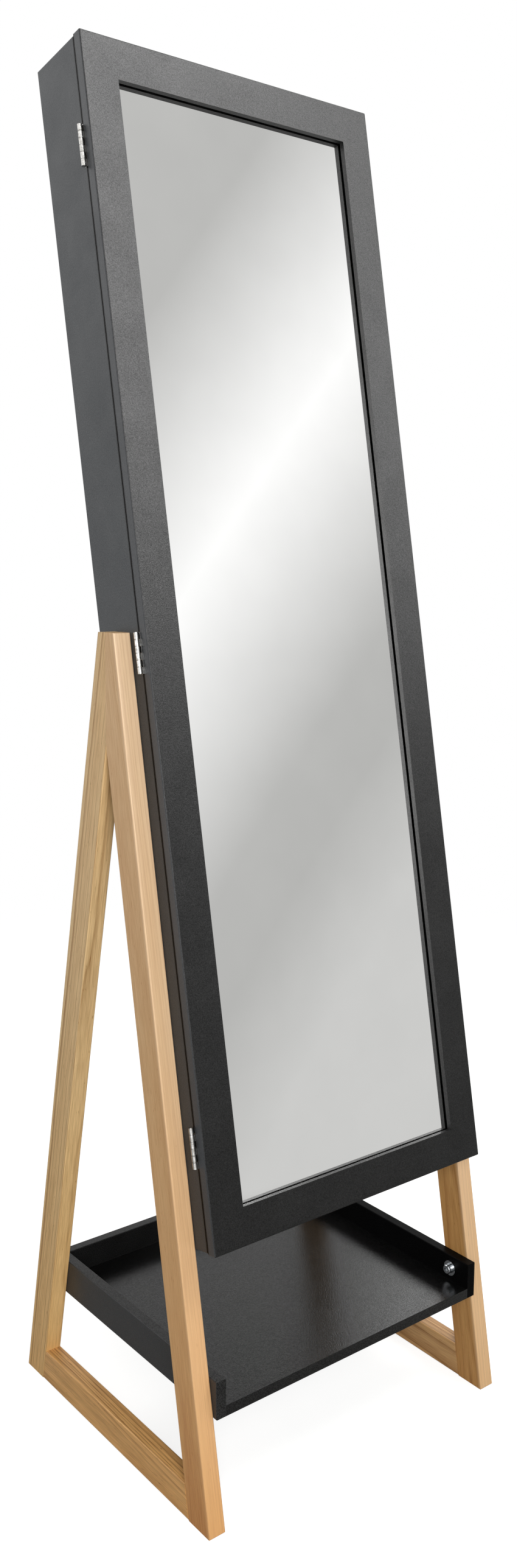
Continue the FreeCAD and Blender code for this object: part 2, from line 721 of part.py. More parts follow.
def carcass_back(label):
    edge = f"({INNER_HALF} + back_lap - back_play)"
    low = f"({CARCASS_LOW} + board_thick - back_lap + back_play)"
    high = f"({CARCASS_HIGH} - board_thick + back_lap - back_play)"
    body = board(label, "XZ_Plane", (f"-{edge}", PANEL_FRONT, low), (edge, CARCASS_BACK, high))
    sides, cross = back_screw_spots()
    drill(body, "XZ_Plane", sides + cross, "screw_radius",
          f"{PANEL_FRONT} - overrun", f"{CARCASS_BACK} + overrun")
    return body


# Fittings inside the carcass

def shelf(label, low):
    return board(label, "XY_Plane", (f"-{INNER_HALF}", SHELF_FRONT, low),
                 (INNER_HALF, PANEL_FRONT, f"{low} + shelf_thick"))


def hook_rail(label):
    low = f"({HOOK_RAIL_HIGH} - hook_rail_high)"
    body = board(label, "XZ_Plane", (f"-{INNER_HALF}", HOOK_RAIL_FRONT, low),
                 (INNER_HALF, PANEL_FRONT, HOOK_RAIL_HIGH))
    drill(body, "XZ_Plane", [(across, up) for across, _, up in peg_places()], "peg_radius",
          f"{HOOK_RAIL_FRONT} - overrun", f"{HOOK_RAIL_FRONT} + peg_root")
    return body


def peg_places():
    reach = f"({peg_spread_share} * {INNER_HALF})"
    return [(at_share(index / (PEGS - 1), f"-{reach}", reach), HOOK_RAIL_FRONT,
             f"({HOOK_RAIL_HIGH} - hook_rail_high / 2)") for index in range(PEGS)]


def necklace_peg():
    """A turned peg with a flange and a small knob, pointing up from the rail's face."""
    neck = "(peg_long - 2 * peg_ball)"
    return turned("peg_pattern", [
        (0, "-peg_root"), ("peg_radius", "-peg_root"), ("peg_radius", 0), ("peg_flange", 0),
        ("peg_flange", "peg_flange_thick"), ("peg_radius", "peg_flange_thick"), ("peg_radius", neck),
        ("peg_ball", f"({neck} + peg_ball / 2)"), ("peg_ball", "(peg_long - peg_ball / 2)"),
        ("peg_radius", "peg_long"), (0, "peg_long")])


def ring_cushion(label):
    """A slab with rounded rolls across it. Rings are pushed into the grips between them."""
    low = f"({CARCASS_LOW} + {cushion_height_share} * {CARCASS_TALL})"
    high = f"({low} + {CUSHION_RIBS} * cushion_rib_pitch)"
    slab_front = f"({PANEL_FRONT} - cushion_slab)"
    body = board(label, "XZ_Plane", (f"-{CUSHION_HALF}", slab_front, low),
                 (CUSHION_HALF, PANEL_FRONT, high))
    for index in range(CUSHION_RIBS):
        sketch = new_sketch(body, "rib", "YZ_Plane", 0)
        draw_circles(sketch, [(slab_front, f"({low} + {index + 0.5} * cushion_rib_pitch)")],
                     "cushion_rib_radius")
        extrude("Pad", body, sketch, f"-{CUSHION_HALF}", CUSHION_HALF)
    recess(body, "YZ_Plane", (f"-{CUSHION_HALF} - overrun", PANEL_FRONT, f"{low} - cushion_rib_pitch"),
           (f"{CUSHION_HALF} + overrun", f"{CARCASS_BACK} + cushion_slab", f"{high} + cushion_rib_pitch"))
    return body


def rods(label, spots):
    """Rods that span the carcass and end in blind sockets in its sides."""
    reach = f"({INNER_HALF} + rod_socket)"
    pattern = primitive("Cylinder", f"{label}_pattern", (0, 0, 0), Radius="rod_radius", Height=f"2 * {reach}")
    return copies(label, pattern, [((f"-{reach}", back, up), ALONG_X) for back, up in spots])


def shelf_pins(label):
    pattern = primitive("Cylinder", "shelf_pin_pattern", (0, 0, 0),
                        Radius="shelf_pin_radius", Height="shelf_pin_long")
    start = f"{INNER_HALF} + shelf_pin_socket - shelf_pin_long"
    return copies(label, pattern, [((side_x(side, start), back, up), outward(side))
                                   for side in (-1, 1) for back, up in shelf_pin_spots()])


# Door

def door_stile(side, label):
    start, stop = span(side, STILE_INNER, "door_wide / 2")
    body = board(label, "XZ_Plane", (start, 0, 0), (stop, "board_thick", "door_high"))
    rebate_start, rebate_stop = span(side, f"{STILE_INNER} - overrun", REBATE_X)
    recess(body, "XZ_Plane", (rebate_start, "mirror_sunk", REBATE_LOW),
           (rebate_stop, "board_thick + overrun", REBATE_HIGH))
    low, high = door_dowel_heights()
    drill(body, "YZ_Plane", [("board_thick / 2", height) for height in low + high], "door_dowel_radius",
          *span(side, f"{STILE_INNER} - overrun", f"{STILE_INNER} + dowel_long / 2"))
    clips = [(side_x(side, CLIP_SCREW_X), f"({share} * door_high)") for share in clip_height_shares]
    drill(body, "XZ_Plane", clips, "screw_radius",
          "board_thick + clip_thick - clip_screw_long", "board_thick + overrun")
    if side < 0:
        mortises(body, f"{HINGE_Y} - leaf_gap / 2 - leaf_thick", "board_thick + overrun")
        drill(body, "XZ_Plane", hinge_screw_spots(), "screw_radius",
              f"{HINGE_Y} - screw_long", "board_thick")
    else:
        drill(body, "XZ_Plane", [(CATCH_X, CATCH_Z)], "screw_radius",
              "board_thick + strike_thick - screw_long", "board_thick + overrun")
    outside, front = level("x", side_x(side, "door_wide / 2")), level("y", 0)
    ends = [level("z", 0), level("z", "door_high")]
    ease(body, "door_ease", [(front, outside)] + [(face, end) for face in (front, outside) for end in ends])
    return body


def door_rail(label, low, high, rebate_low, rebate_high, outer_edge, dowel_heights):
    body = board(label, "XZ_Plane", (f"-{STILE_INNER}", 0, low), (STILE_INNER, "board_thick", high))
    recess(body, "XZ_Plane", (f"-{STILE_INNER} - overrun", "mirror_sunk", rebate_low),
           (f"{STILE_INNER} + overrun", "board_thick + overrun", rebate_high))
    for side in (-1, 1):
        drill(body, "YZ_Plane", [("board_thick / 2", height) for height in dowel_heights],
              "door_dowel_radius", *span(side, f"{STILE_INNER} - dowel_long / 2", f"{STILE_INNER} + overrun"))
    ease(body, "door_ease", [(level("y", 0), level("z", outer_edge))])
    return body


def mirror_sheet(label, front, back):
    """The mirror or the board behind it, in the door's rebate."""
    return board(label, "XZ_Plane", (f"-{GLASS_X}", front, GLASS_LOW), (GLASS_X, back, GLASS_HIGH))


def mirror_clips(label):
    """Flat clips that hold the backing board, one screw in each."""
    plate = box("clip_plate", ("-clip_long / 2", 0, "-clip_wide / 2"),
                ("clip_long / 2", "clip_thick", "clip_wide / 2"))
    offset = f"({CLIP_SCREW_X} - {CLIP_END} + clip_long / 2)"
    hole = primitive("Cylinder", "clip_hole", (offset, "-overrun", 0), ALONG_Y,
                     Radius="screw_radius", Height="clip_thick + 2 * overrun")
    pattern = cut_away("clip_pattern", plate, [hole])
    middle = f"({CLIP_END} - clip_long / 2)"
    half_turn = FreeCAD.Rotation(FreeCAD.Vector(0, 1, 0), 180)
    return copies(label, pattern, [((side_x(side, middle), "board_thick", f"{share} * door_high"),
                                    UPRIGHT if side > 0 else half_turn)
                                   for side in (-1, 1) for share in clip_height_shares])


# Hinges

def hinge_leaf(name, face, knuckles, bore):
    """One leaf with its knuckles. The barrel's axis is Z, and face is -1 for the door's leaf."""
    near, far = side_x(face, "leaf_gap / 2"), side_x(face, "leaf_gap / 2 + leaf_thick")
    low, high = (near, far) if face > 0 else (far, near)
    plate = box(f"{name}_plate", ("barrel_radius + leaf_notch", low, 0), (LEAF_END, high, "hinge_long"))
    pieces, pitch = [plate], f"(hinge_long / {KNUCKLES})"
    for knuckle in knuckles:
        start = f"({knuckle} * {pitch} + knuckle_play / 2)"
        end = f"({knuckle + 1} * {pitch} - knuckle_play / 2)"
        pieces.append(primitive("Cylinder", f"{name}_knuckle", (0, 0, start),
                                Radius="barrel_radius", Height=f"{pitch} - knuckle_play"))
        pieces.append(box(f"{name}_tongue", ("(pin_radius + barrel_radius) / 2", low, start),
                          ("barrel_radius + leaf_notch", high, end)))
    tools = [primitive("Cylinder", f"{name}_bore", (0, 0, "-overrun"),
                       Radius=bore, Height="hinge_long + 2 * overrun")]
    turn = AGAINST_Y if face > 0 else ALONG_Y
    for share in leaf_screw_shares:
        tools.append(primitive("Cone", f"{name}_sink", (LEAF_MID, far, f"{share} * hinge_long"), turn,
                               Radius1="screw_radius", Radius2="screw_head", Height="leaf_thick"))
    return cut_away(f"{name}_pattern", combine("MultiFuse", f"{name}_whole", pieces), tools)


def hinge_places():
    return [((HINGE_X, HINGE_Y, height), UPRIGHT) for height in hinge_heights()]


def hinge_screws(label, face):
    """Countersunk screws, flush with the leaf."""
    pattern = turned(f"{label}_pattern", [
        (0, 0), ("screw_head", 0), ("screw_radius", "leaf_thick"),
        ("screw_radius", "screw_long - leaf_gap / 2"), (0, "screw_long - leaf_gap / 2")])
    turn = ALONG_Y if face > 0 else AGAINST_Y
    head = f"{HINGE_Y} + {side_x(face, 'leaf_gap / 2')}"
    return copies(label, pattern, [((across, head, up), turn) for across, up in hinge_screw_spots()])


# Catch, strike plate and bumpers

def magnet_box():
    """The two corners of the magnet in the front of the catch."""
    low = (f"{CATCH_X} - magnet_wide / 2", CATCH_FRONT, f"{CATCH_Z} - magnet_high / 2")
    high = (f"{CATCH_X} + magnet_wide / 2", f"{CATCH_FRONT} + magnet_deep", f"{CATCH_Z} + magnet_high / 2")
    return low, high


def magnet_catch(label):
    body = board(label, "YZ_Plane", (CATCH_LEFT, CATCH_FRONT, f"{CATCH_Z} - catch_high / 2"),
                 (INNER_HALF, f"{CATCH_FRONT} + catch_deep", f"{CATCH_Z} + catch_high / 2"))
    recess(body, "XZ_Plane", *magnet_box())
    drill(body, "YZ_Plane", catch_screw_spots(), "screw_radius",
          f"{CATCH_LEFT} - overrun", f"{INNER_HALF} + overrun")
    return body


def catch_magnet(label):
    return board(label, "XZ_Plane", *magnet_box())


def round_screw(name, length):
    """A round-headed screw. Its head stands on Z = 0, and its shank runs down."""
    return turned(name, [
        (0, f"-({length})"), ("screw_radius", f"-({length})"), ("screw_radius", 0), ("round_head", 0),
        ("round_head", "round_head_high / 2"), ("round_head / 2", "round_head_high"), (0, "round_head_high")])


def strike_plate(label):
    low = (f"{CATCH_X} - strike_wide / 2", "board_thick", f"{CATCH_Z} - strike_high / 2")
    high = (f"{CATCH_X} + strike_wide / 2", "board_thick + strike_thick", f"{CATCH_Z} + strike_high / 2")
    plate = box("strike_blank", low, high)
    sink = primitive("Cone", "strike_sink", (CATCH_X, "board_thick", CATCH_Z), ALONG_Y,
                     Radius1="screw_radius", Radius2="screw_head", Height="strike_thick")
    whole = cut_away(label, plate, [sink])
    whole.Label = label
    lean(whole)
    return whole


def strike_screw(label):
    pattern = turned("strike_screw_pattern", [
        (0, 0), ("screw_head", 0), ("screw_radius", "strike_thick"), ("screw_radius", "screw_long"),
        (0, "screw_long")])
    return copies(label, pattern, [((CATCH_X, "board_thick + strike_thick", CATCH_Z), AGAINST_Y)])


def door_bumpers(label):
    pattern = primitive("Cylinder", "bumper_pattern", (0, 0, 0),
                        Radius="bumper_radius", Height="door_gap - bumper_play")
    middle = f"({CARCASS_HALF} - board_thick / 2)"
    return copies(label, pattern, [((middle, "board_thick", f"{share} * door_high"), ALONG_Y)
                                   for share in bumper_height_shares])


# Fasteners and dowels

def bolt():
    """A bolt with a hexagon socket. The head's underside is Z = 0, and the shank runs up."""
    body = turned("bolt_pattern", [
        (0, "-bolt_head_high"), ("bolt_head - bolt_head_ease", "-bolt_head_high"),
        ("bolt_head", "bolt_head_ease - bolt_head_high"), ("bolt_head", 0), ("bolt_radius", 0),
        ("bolt_radius", BOLT_LONG), (0, BOLT_LONG)])
    hexagon = [(f"socket_radius * cos({angle})", f"socket_radius * sin({angle})")
               for angle in range(0, 360, 60)]
    cut_outline(body, "XY_Plane", hexagon, "-bolt_head_high - overrun", "socket_deep - bolt_head_high")
    return body


def ring(name, inner, outer, height):
    """A flat ring about Z, standing on Z = 0."""
    return turned(name, [(inner, 0), (outer, 0), (outer, height), (inner, height)])


def spring_washer():
    """A ring that is split on one side."""
    body = ring("spring_washer_pattern", "bolt_radius + bolt_play",
                "spring_washer_radius", "spring_washer_thick")
    recess(body, "XY_Plane", (0, "-spring_washer_gap / 2", "-overrun"),
           ("spring_washer_radius + overrun", "spring_washer_gap / 2", "spring_washer_thick + overrun"))
    return body


def tray_bolt_places(distance):
    back, up = tray_bolt_spot()
    return [((side_x(side, distance), back, up), outward(side)) for side in (-1, 1)]


def frame_bolt_places(distance):
    return [((side_x(side, distance), back, up), outward(side))
            for side in (-1, 1) for back, up in frame_bolt_spots()]


def frame_dowels(label, pattern):
    joints = rail_dowel_spots(front=True) + rail_dowel_spots(front=False) + mitre_dowel_spots()
    return copies(label, pattern, [((side_x(side, LEG_MID_X), f"{joint} - dowel_long / 2", height), ALONG_Y)
                                   for side in (-1, 1) for joint, height in joints], leans=False)


def dowel_pattern(name, radius, length):
    return primitive("Cylinder", name, (0, 0, 0), Radius=radius, Height=length)


nodes = {}
for side, name in ((-1, "left"), (1, "right")):
    nodes[f"{name}_front_leg"] = front_leg(side, f"{name}_front_leg")
    nodes[f"{name}_rear_leg"] = rear_leg(side, f"{name}_rear_leg")
    nodes[f"{name}_foot_rail"] = foot_rail(side, f"{name}_foot_rail")
    nodes[f"tray_{name}_wall"] = tray_side_wall(side, f"tray_{name}_wall")
    nodes[f"carcass_{name}_side"] = carcass_side(side, f"carcass_{name}_side")
    nodes[f"door_{name}_stile"] = door_stile(side, f"door_{name}_stile")
nodes["tray_floor"] = tray_floor("tray_floor")
nodes["tray_back_wall"] = tray_back_wall("tray_back_wall")
nodes["carcass_bottom"] = carcass_end(
    "carcass_bottom", CARCASS_LOW, f"{CARCASS_LOW} + board_thick",
    f"{CARCASS_LOW} + board_thick - back_lap", f"{CARCASS_LOW} + board_thick + overrun")
nodes["carcass_top"] = carcass_end(
    "carcass_top", f"{CARCASS_HIGH} - board_thick", CARCASS_HIGH,
    f"{CARCASS_HIGH} - board_thick - overrun", f"{CARCASS_HIGH} - board_thick + back_lap")
nodes["carcass_back"] = carcass_back("carcass_back")
nodes["lower_shelf"] = shelf("lower_shelf", shelf_heights()[0])
nodes["upper_shelf"] = shelf("upper_shelf", shelf_heights()[1])
nodes["shelf_pins"] = shelf_pins("shelf_pins")
nodes["guard_rods"] = rods("guard_rods", guard_rod_spots())
nodes["earring_rods"] = rods("earring_rods", earring_rod_spots())
nodes["hook_rail"] = hook_rail("hook_rail")
nodes["necklace_pegs"] = copies("necklace_pegs", necklace_peg(),
                                [(place, AGAINST_Y) for place in peg_places()])
nodes["ring_cushion"] = ring_cushion("ring_cushion")

low_dowels, high_dowels = door_dowel_heights()
nodes["door_bottom_rail"] = door_rail("door_bottom_rail", 0, "low_rail_high", REBATE_LOW,
                                      "low_rail_high + overrun", 0, low_dowels)
nodes["door_top_rail"] = door_rail("door_top_rail", "door_high - top_rail_high", "door_high",
                                   "door_high - top_rail_high - overrun", REBATE_HIGH,
                                   "door_high", high_dowels)
nodes["mirror_glass"] = mirror_sheet("mirror_glass", "mirror_sunk", GLASS_BACK)
nodes["mirror_backing"] = mirror_sheet("mirror_backing", GLASS_BACK, "board_thick")
nodes["mirror_clips"] = mirror_clips("mirror_clips")
nodes["clip_screws"] = copies(
    "clip_screws", round_screw("clip_screw_pattern", "clip_screw_long"),
    [((side_x(side, CLIP_SCREW_X), "board_thick + clip_thick", f"{share} * door_high"), ALONG_Y)
     for side in (-1, 1) for share in clip_height_shares])

door_knuckles = range(0, KNUCKLES, 2)
carcass_knuckles = range(1, KNUCKLES, 2)
nodes["hinge_door_leaves"] = copies(
    "hinge_door_leaves", hinge_leaf("door_leaf", -1, door_knuckles, "pin_radius"), hinge_places())
nodes["hinge_carcass_leaves"] = copies(
    "hinge_carcass_leaves", hinge_leaf("carcass_leaf", 1, carcass_knuckles, "pin_radius + pin_play"),
    hinge_places())
nodes["hinge_pins"] = copies(
    "hinge_pins", dowel_pattern("hinge_pin_pattern", "pin_radius", "hinge_long"), hinge_places())
nodes["door_hinge_screws"] = hinge_screws("door_hinge_screws", -1)
nodes["carcass_hinge_screws"] = hinge_screws("carcass_hinge_screws", 1)

nodes["magnet_catch"] = magnet_catch("magnet_catch")
nodes["catch_magnet"] = catch_magnet("catch_magnet")
nodes["catch_screws"] = copies(
    "catch_screws", round_screw("catch_screw_pattern", "catch_wide + catch_screw_bite"),
    [((CATCH_LEFT, back, up), AGAINST_X) for back, up in catch_screw_spots()])
nodes["strike_plate"] = strike_plate("strike_plate")
nodes["strike_screw"] = strike_screw("strike_screw")
nodes["door_bumpers"] = door_bumpers("door_bumpers")

bolt_pattern = bolt()
washer_pattern = ring("washer_pattern", "bolt_radius + bolt_play", "washer_radius", "washer_thick")
insert_pattern = ring("insert_pattern", "bolt_radius", "insert_radius", "insert_long")
stack = (("bolts", bolt_pattern, BOLT_X), ("spring_washers", spring_washer(), BOLT_X),
         ("washers", washer_pattern, WASHER_X), ("inserts", insert_pattern, CARCASS_HALF))
for piece, pattern, distance in stack:
    nodes[f"tray_{piece}"] = copies(f"tray_{piece}", pattern, tray_bolt_places(distance), leans=False)
    nodes[f"frame_{piece}"] = copies(f"frame_{piece}", pattern, frame_bolt_places(distance))
nodes["back_screws"] = copies(
    "back_screws", round_screw("back_screw_pattern", "back_screw_long"),
    [((across, CARCASS_BACK, up), ALONG_Y) for spots in back_screw_spots() for across, up in spots])

wall_dowel = dowel_pattern("dowel_pattern", "dowel_radius", "dowel_long")
nodes["frame_dowels"] = frame_dowels("frame_dowels", wall_dowel)
nodes["carcass_dowels"] = copies(
    "carcass_dowels", wall_dowel,
    [((side_x(side, f"{INNER_HALF} + side_bite - dowel_long"), back, up), outward(side))
     for side in (-1, 1) for back, up in carcass_dowel_spots()])
nodes["door_dowels"] = copies(
    "door_dowels", dowel_pattern("door_dowel_pattern", "door_dowel_radius", "dowel_long"),
    [((side_x(side, f"{STILE_INNER} - dowel_long / 2"), "board_thick / 2", up), outward(side))
     for side in (-1, 1) for up in low_dowels + high_dowels])
nodes["tray_dowels"] = copies(
    "tray_dowels", dowel_pattern("tray_dowel_pattern", "dowel_radius", "tray_dowel_long"),
    [((side_x(side, f"{CARCASS_HALF} - side_bite"), *tray_dowel_spot()), outward(side))
     for side in (-1, 1)], leans=False)

doc.recompute()
faults = [item.Name for item in doc.Objects if set(item.State) & {"Invalid", "Error"}]
faults += [name for name, piece in nodes.items() if piece.Shape.isNull() or not piece.Shape.isValid()]
if faults:
    raise RuntimeError(f"Not built: {faults}")

os.makedirs("parts", exist_ok=True)
for name, piece in nodes.items():
    piece.Shape.exportStep(f"parts/{name}.step")
    print(name, len(piece.Shape.Solids), "solids", round(piece.Shape.Volume), "mm3")
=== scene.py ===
# %% [markdown]
# # A jewelry cabinet with a mirror door
# A tall black cabinet leans back between two pine A-frames, over an open tray.
# The CAD model already has every rigid piece at its true size, down to hinge knuckles and bolts.
# What it lacks is how those pieces look and feel, so this file adds four things:
# finishes for paint, pine, plated metal and glass, the silver layer of the mirror,
# a soft velvet cushion for rings, and a small photo studio with a camera.
# One unit is a metre, +Z is up and the front faces -Y, exactly as in the CAD model.

# %% Load the CAD model
import json
import math

import bpy
import numpy as np
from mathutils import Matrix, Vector


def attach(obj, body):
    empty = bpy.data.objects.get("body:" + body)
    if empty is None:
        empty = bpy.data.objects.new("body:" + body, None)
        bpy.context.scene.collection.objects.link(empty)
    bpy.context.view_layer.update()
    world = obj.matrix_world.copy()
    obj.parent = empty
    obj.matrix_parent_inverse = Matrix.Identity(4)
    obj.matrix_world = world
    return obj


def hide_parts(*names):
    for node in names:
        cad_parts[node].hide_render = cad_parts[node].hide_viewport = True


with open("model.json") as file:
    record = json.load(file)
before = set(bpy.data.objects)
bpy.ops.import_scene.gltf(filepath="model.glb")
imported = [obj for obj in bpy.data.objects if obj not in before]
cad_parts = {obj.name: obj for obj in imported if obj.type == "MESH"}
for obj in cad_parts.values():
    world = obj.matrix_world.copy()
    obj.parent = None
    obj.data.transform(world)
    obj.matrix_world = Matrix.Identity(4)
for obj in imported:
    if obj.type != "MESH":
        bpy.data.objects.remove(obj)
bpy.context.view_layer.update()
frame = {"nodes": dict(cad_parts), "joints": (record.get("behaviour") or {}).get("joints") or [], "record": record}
nodes = frame["nodes"]
MM = 0.001

# %% [markdown]
# ## A frame of reference that leans
# The cabinet and its door lean back, so "how deep" and "how high" inside them aren't plain Y and Z.
# The door's hinge axis runs along the lean. Its direction, kept in the model's record, gives the angle,
# and two small functions change between room places and places in the leaning cabinet.
# This is easier to read, and safer, than typing the leaning coordinates of every new piece by hand.

# %% The lean
hinge = frame["joints"][0]
LEAN = math.atan2(abs(hinge["axis"][1]), abs(hinge["axis"][2]))
back_way = np.array((0, math.cos(LEAN), -math.sin(LEAN)))
up_way = np.array((0, math.sin(LEAN), math.cos(LEAN)))


def mesh_points(obj):
    """The places of an object's points, one row each."""
    points = np.empty(len(obj.data.vertices) * 3)
    obj.data.vertices.foreach_get("co", points)
    return points.reshape(-1, 3)


def leaning_box(name):
    """Lowest and highest X, depth and height of a CAD piece, measured along the lean."""
    points = mesh_points(nodes[name])
    along = np.stack([points[:, 0], points @ back_way, points @ up_way], 1)
    return along.min(0), along.max(0)


def room(across, depth, height):
    """The room place of a point of the leaning cabinet."""
    return Vector((across, *(depth * back_way + height * up_way)[1:]))


print("the cabinet leans back", round(math.degrees(LEAN), 2), "degrees")

# %% [markdown]
# ## The camera
# The photograph was taken from the front left, nearly a metre above the floor, looking slightly down.
# The camera's place, turn and lens were worked out by matching the cabinet's corners with the
# photograph. The picture is tall, so Blender's automatic sensor fit measures the lens along the tall
# side. The small shift stands for the photograph's crop, which isn't quite centred on the lens.

# %% Camera
PICTURE_WIDE, PICTURE_TALL = 850, 2576
FOCAL_PIXELS = 2161.8
AXIS_PIXEL = (501.1, 1267.2)
CAMERA_PLACE = (-0.8985, -1.1772, 0.9725)
CAMERA_TURN_DEGREES = (81.277, -0.442, -39.287)
SENSOR_MM = 36
camera_data = bpy.data.cameras.new("camera")
camera_data.sensor_width = SENSOR_MM
camera_data.lens = SENSOR_MM * FOCAL_PIXELS / PICTURE_TALL
camera_data.shift_x = (PICTURE_WIDE / 2 - AXIS_PIXEL[0]) / PICTURE_TALL
camera_data.shift_y = (AXIS_PIXEL[1] - PICTURE_TALL / 2) / PICTURE_TALL
camera = bpy.data.objects.new("camera", camera_data)
camera.location = CAMERA_PLACE
camera.rotation_euler = [math.radians(angle) for angle in CAMERA_TURN_DEGREES]
bpy.context.scene.collection.objects.link(camera)
bpy.context.scene.camera = camera
bpy.context.scene.view_settings.view_transform = "Standard"
print("lens", round(camera_data.lens, 1), "mm")

# %% [markdown]
# ## Small helpers for materials
# Colours are picked from pictures as sRGB hex values, but Blender shades in linear light,
# so one function converts them. Pattern sizes are easier to judge in millimetres, so another
# turns the size of a grain into the scale that Blender's textures want. The third adds a node with
# its settings and links in one line, so that a material reads from top to bottom like a recipe.

# %% Material helpers


def paint_mix(hex_colour):
    """An sRGB hex colour as linear RGBA."""
    channels = [int(hex_colour[i:i + 2], 16) / 255 for i in (1, 3, 5)]
    return (*[c / 12.92 if c < 0.04045 else ((c + 0.055) / 1.055) ** 2.4 for c in channels], 1)


def grain(size_mm):
    """The texture scale whose features are about this many millimetres across."""
    return 1 / (size_mm * MM)


def add(tree, kind, inputs=None, stops=None, **settings):
    """Add a node. Each input gets a number, a colour or a link, and stops fill a colour ramp."""
    node = tree.nodes.new("ShaderNode" + kind)
    for name, value in settings.items():
        setattr(node, name, value)
    for name, value in (inputs or {}).items():
        if isinstance(value, bpy.types.NodeSocket):
            tree.links.new(value, node.inputs[name])
        else:
            node.inputs[name].default_value = value
    for index, (place, colour) in enumerate(stops or ()):
        elements = node.color_ramp.elements
        stop = elements[index] if index < 2 else elements.new(place)
        stop.position = place
        stop.color = colour if len(colour) == 4 else paint_mix(colour)
    return node


def new_material(name, **uniform):
    """A material with its shader. Numbers that are the same all over go straight onto the shader."""
    material = bpy.data.materials.new(name)
    material.use_nodes = True
    tree = material.node_tree
    shader = tree.nodes["Principled BSDF"]
    for socket, value in uniform.items():
        shader.inputs[socket.replace("_", " ")].default_value = value
    return material, tree, shader


finishes = {}
print("helpers ready")

# %% [markdown]
# ## Satin black paint on board
# The cabinet, door and tray are board with a sprayed black paint. Up close such paint isn't flat:
# it has orange peel about a millimetre across, slightly cloudy patches, and a satin gloss that
# picks up a broad soft sheen from the lamps. Flat black would look like a hole, so the colour
# drifts a little, the roughness drifts with it, and two sizes of bump break up the sheen.
# The peel also makes the gloss grainy: its pits mirror less, so it tints the reflection too.
# The outer sides are painted a lighter, greyer tone, a painted sheen for the light they catch, so
# the recipe has another tone that takes over where a place is as far left or right as those sides are.
# Beside the narrow gap between door and cabinet their sides get a painted shade: the lighter side tone
# is left out and the reflection is tinted dark, so the seam looks wider than the gap is.
# The tray's floor was sprayed the wettest and mirrors its walls softly. Its right wall gets a darker
# copy of the paint, a painted shade, and its left wall a lighter copy, a painted light.

# %% Where the sides get a painted sheen, and where the seam's painted shade is
# The painted sheen of the sides sets in just inside the side's face, so that the rounded edge is in between
SIDE_SHEEN_FROM, SIDE_SHEEN_FULL, SIDE_SHEEN_SHARE = 0.6 * MM, 0.1 * MM, 0.9
CARCASS_SIDE = leaning_box("carcass_right_side")[1][0]
DOOR_SIDE = leaning_box("door_right_stile")[1][0]
SEAM_DEPTH = (leaning_box("door_left_stile")[1][1] + leaning_box("carcass_left_side")[0][1]) / 2
SEAM_REACH = 2.2 * MM


def painted_side_sheen(tree, place, side_at):
    """How much the painted sheen of the sides lightens the coat: fully so on the sides, which are side_at from the
    middle.
    """
    axes = add(tree, "SeparateXYZ", {"Vector": place})
    sideways = add(tree, "Math", {0: axes.outputs["X"]}, operation="ABSOLUTE")
    side_sheen_share = add(tree, "MapRange", {"Value": sideways.outputs["Value"], "From Min": side_at - SIDE_SHEEN_FROM,
                                     "From Max": side_at - SIDE_SHEEN_FULL, "To Max": SIDE_SHEEN_SHARE})
    return side_sheen_share.outputs["Result"]


def clear_of_seam(tree, place):
    """Zero beside the gap between door and cabinet, where its shade is painted, and one from a few millimetres
    off.
    """
    depth = add(tree, "VectorMath", {0: place, 1: back_way}, operation="DOT_PRODUCT")
    off_seam = add(tree, "Math", {0: depth.outputs["Value"], 1: SEAM_DEPTH}, operation="SUBTRACT")
    beside = add(tree, "Math", {0: off_seam.outputs["Value"]}, operation="ABSOLUTE")
    unshaded_by_seam = add(tree, "MapRange", {"Value": beside.outputs["Value"], "From Min": SEAM_REACH,
                                     "From Max": SEAM_REACH + MM})
    return unshaded_by_seam.outputs["Result"]


seam_from_face = SEAM_DEPTH - leaning_box("door_left_stile")[0][1]
print("seam", round(seam_from_face * 1000, 1), "mm behind the door's face")

# %% Paint
PEEL_MM, RIPPLE_MM, CLOUD_MM = 1.1, 7, 45
PEEL_RELIEF, RIPPLE_RELIEF = 0.1 * MM, 0.05 * MM
SATIN = (0.38, 0.46)
# The dark tint of the reflection beside the seam, a painted shade of the gap
SEAM_SHADE_TINT = "#202020"


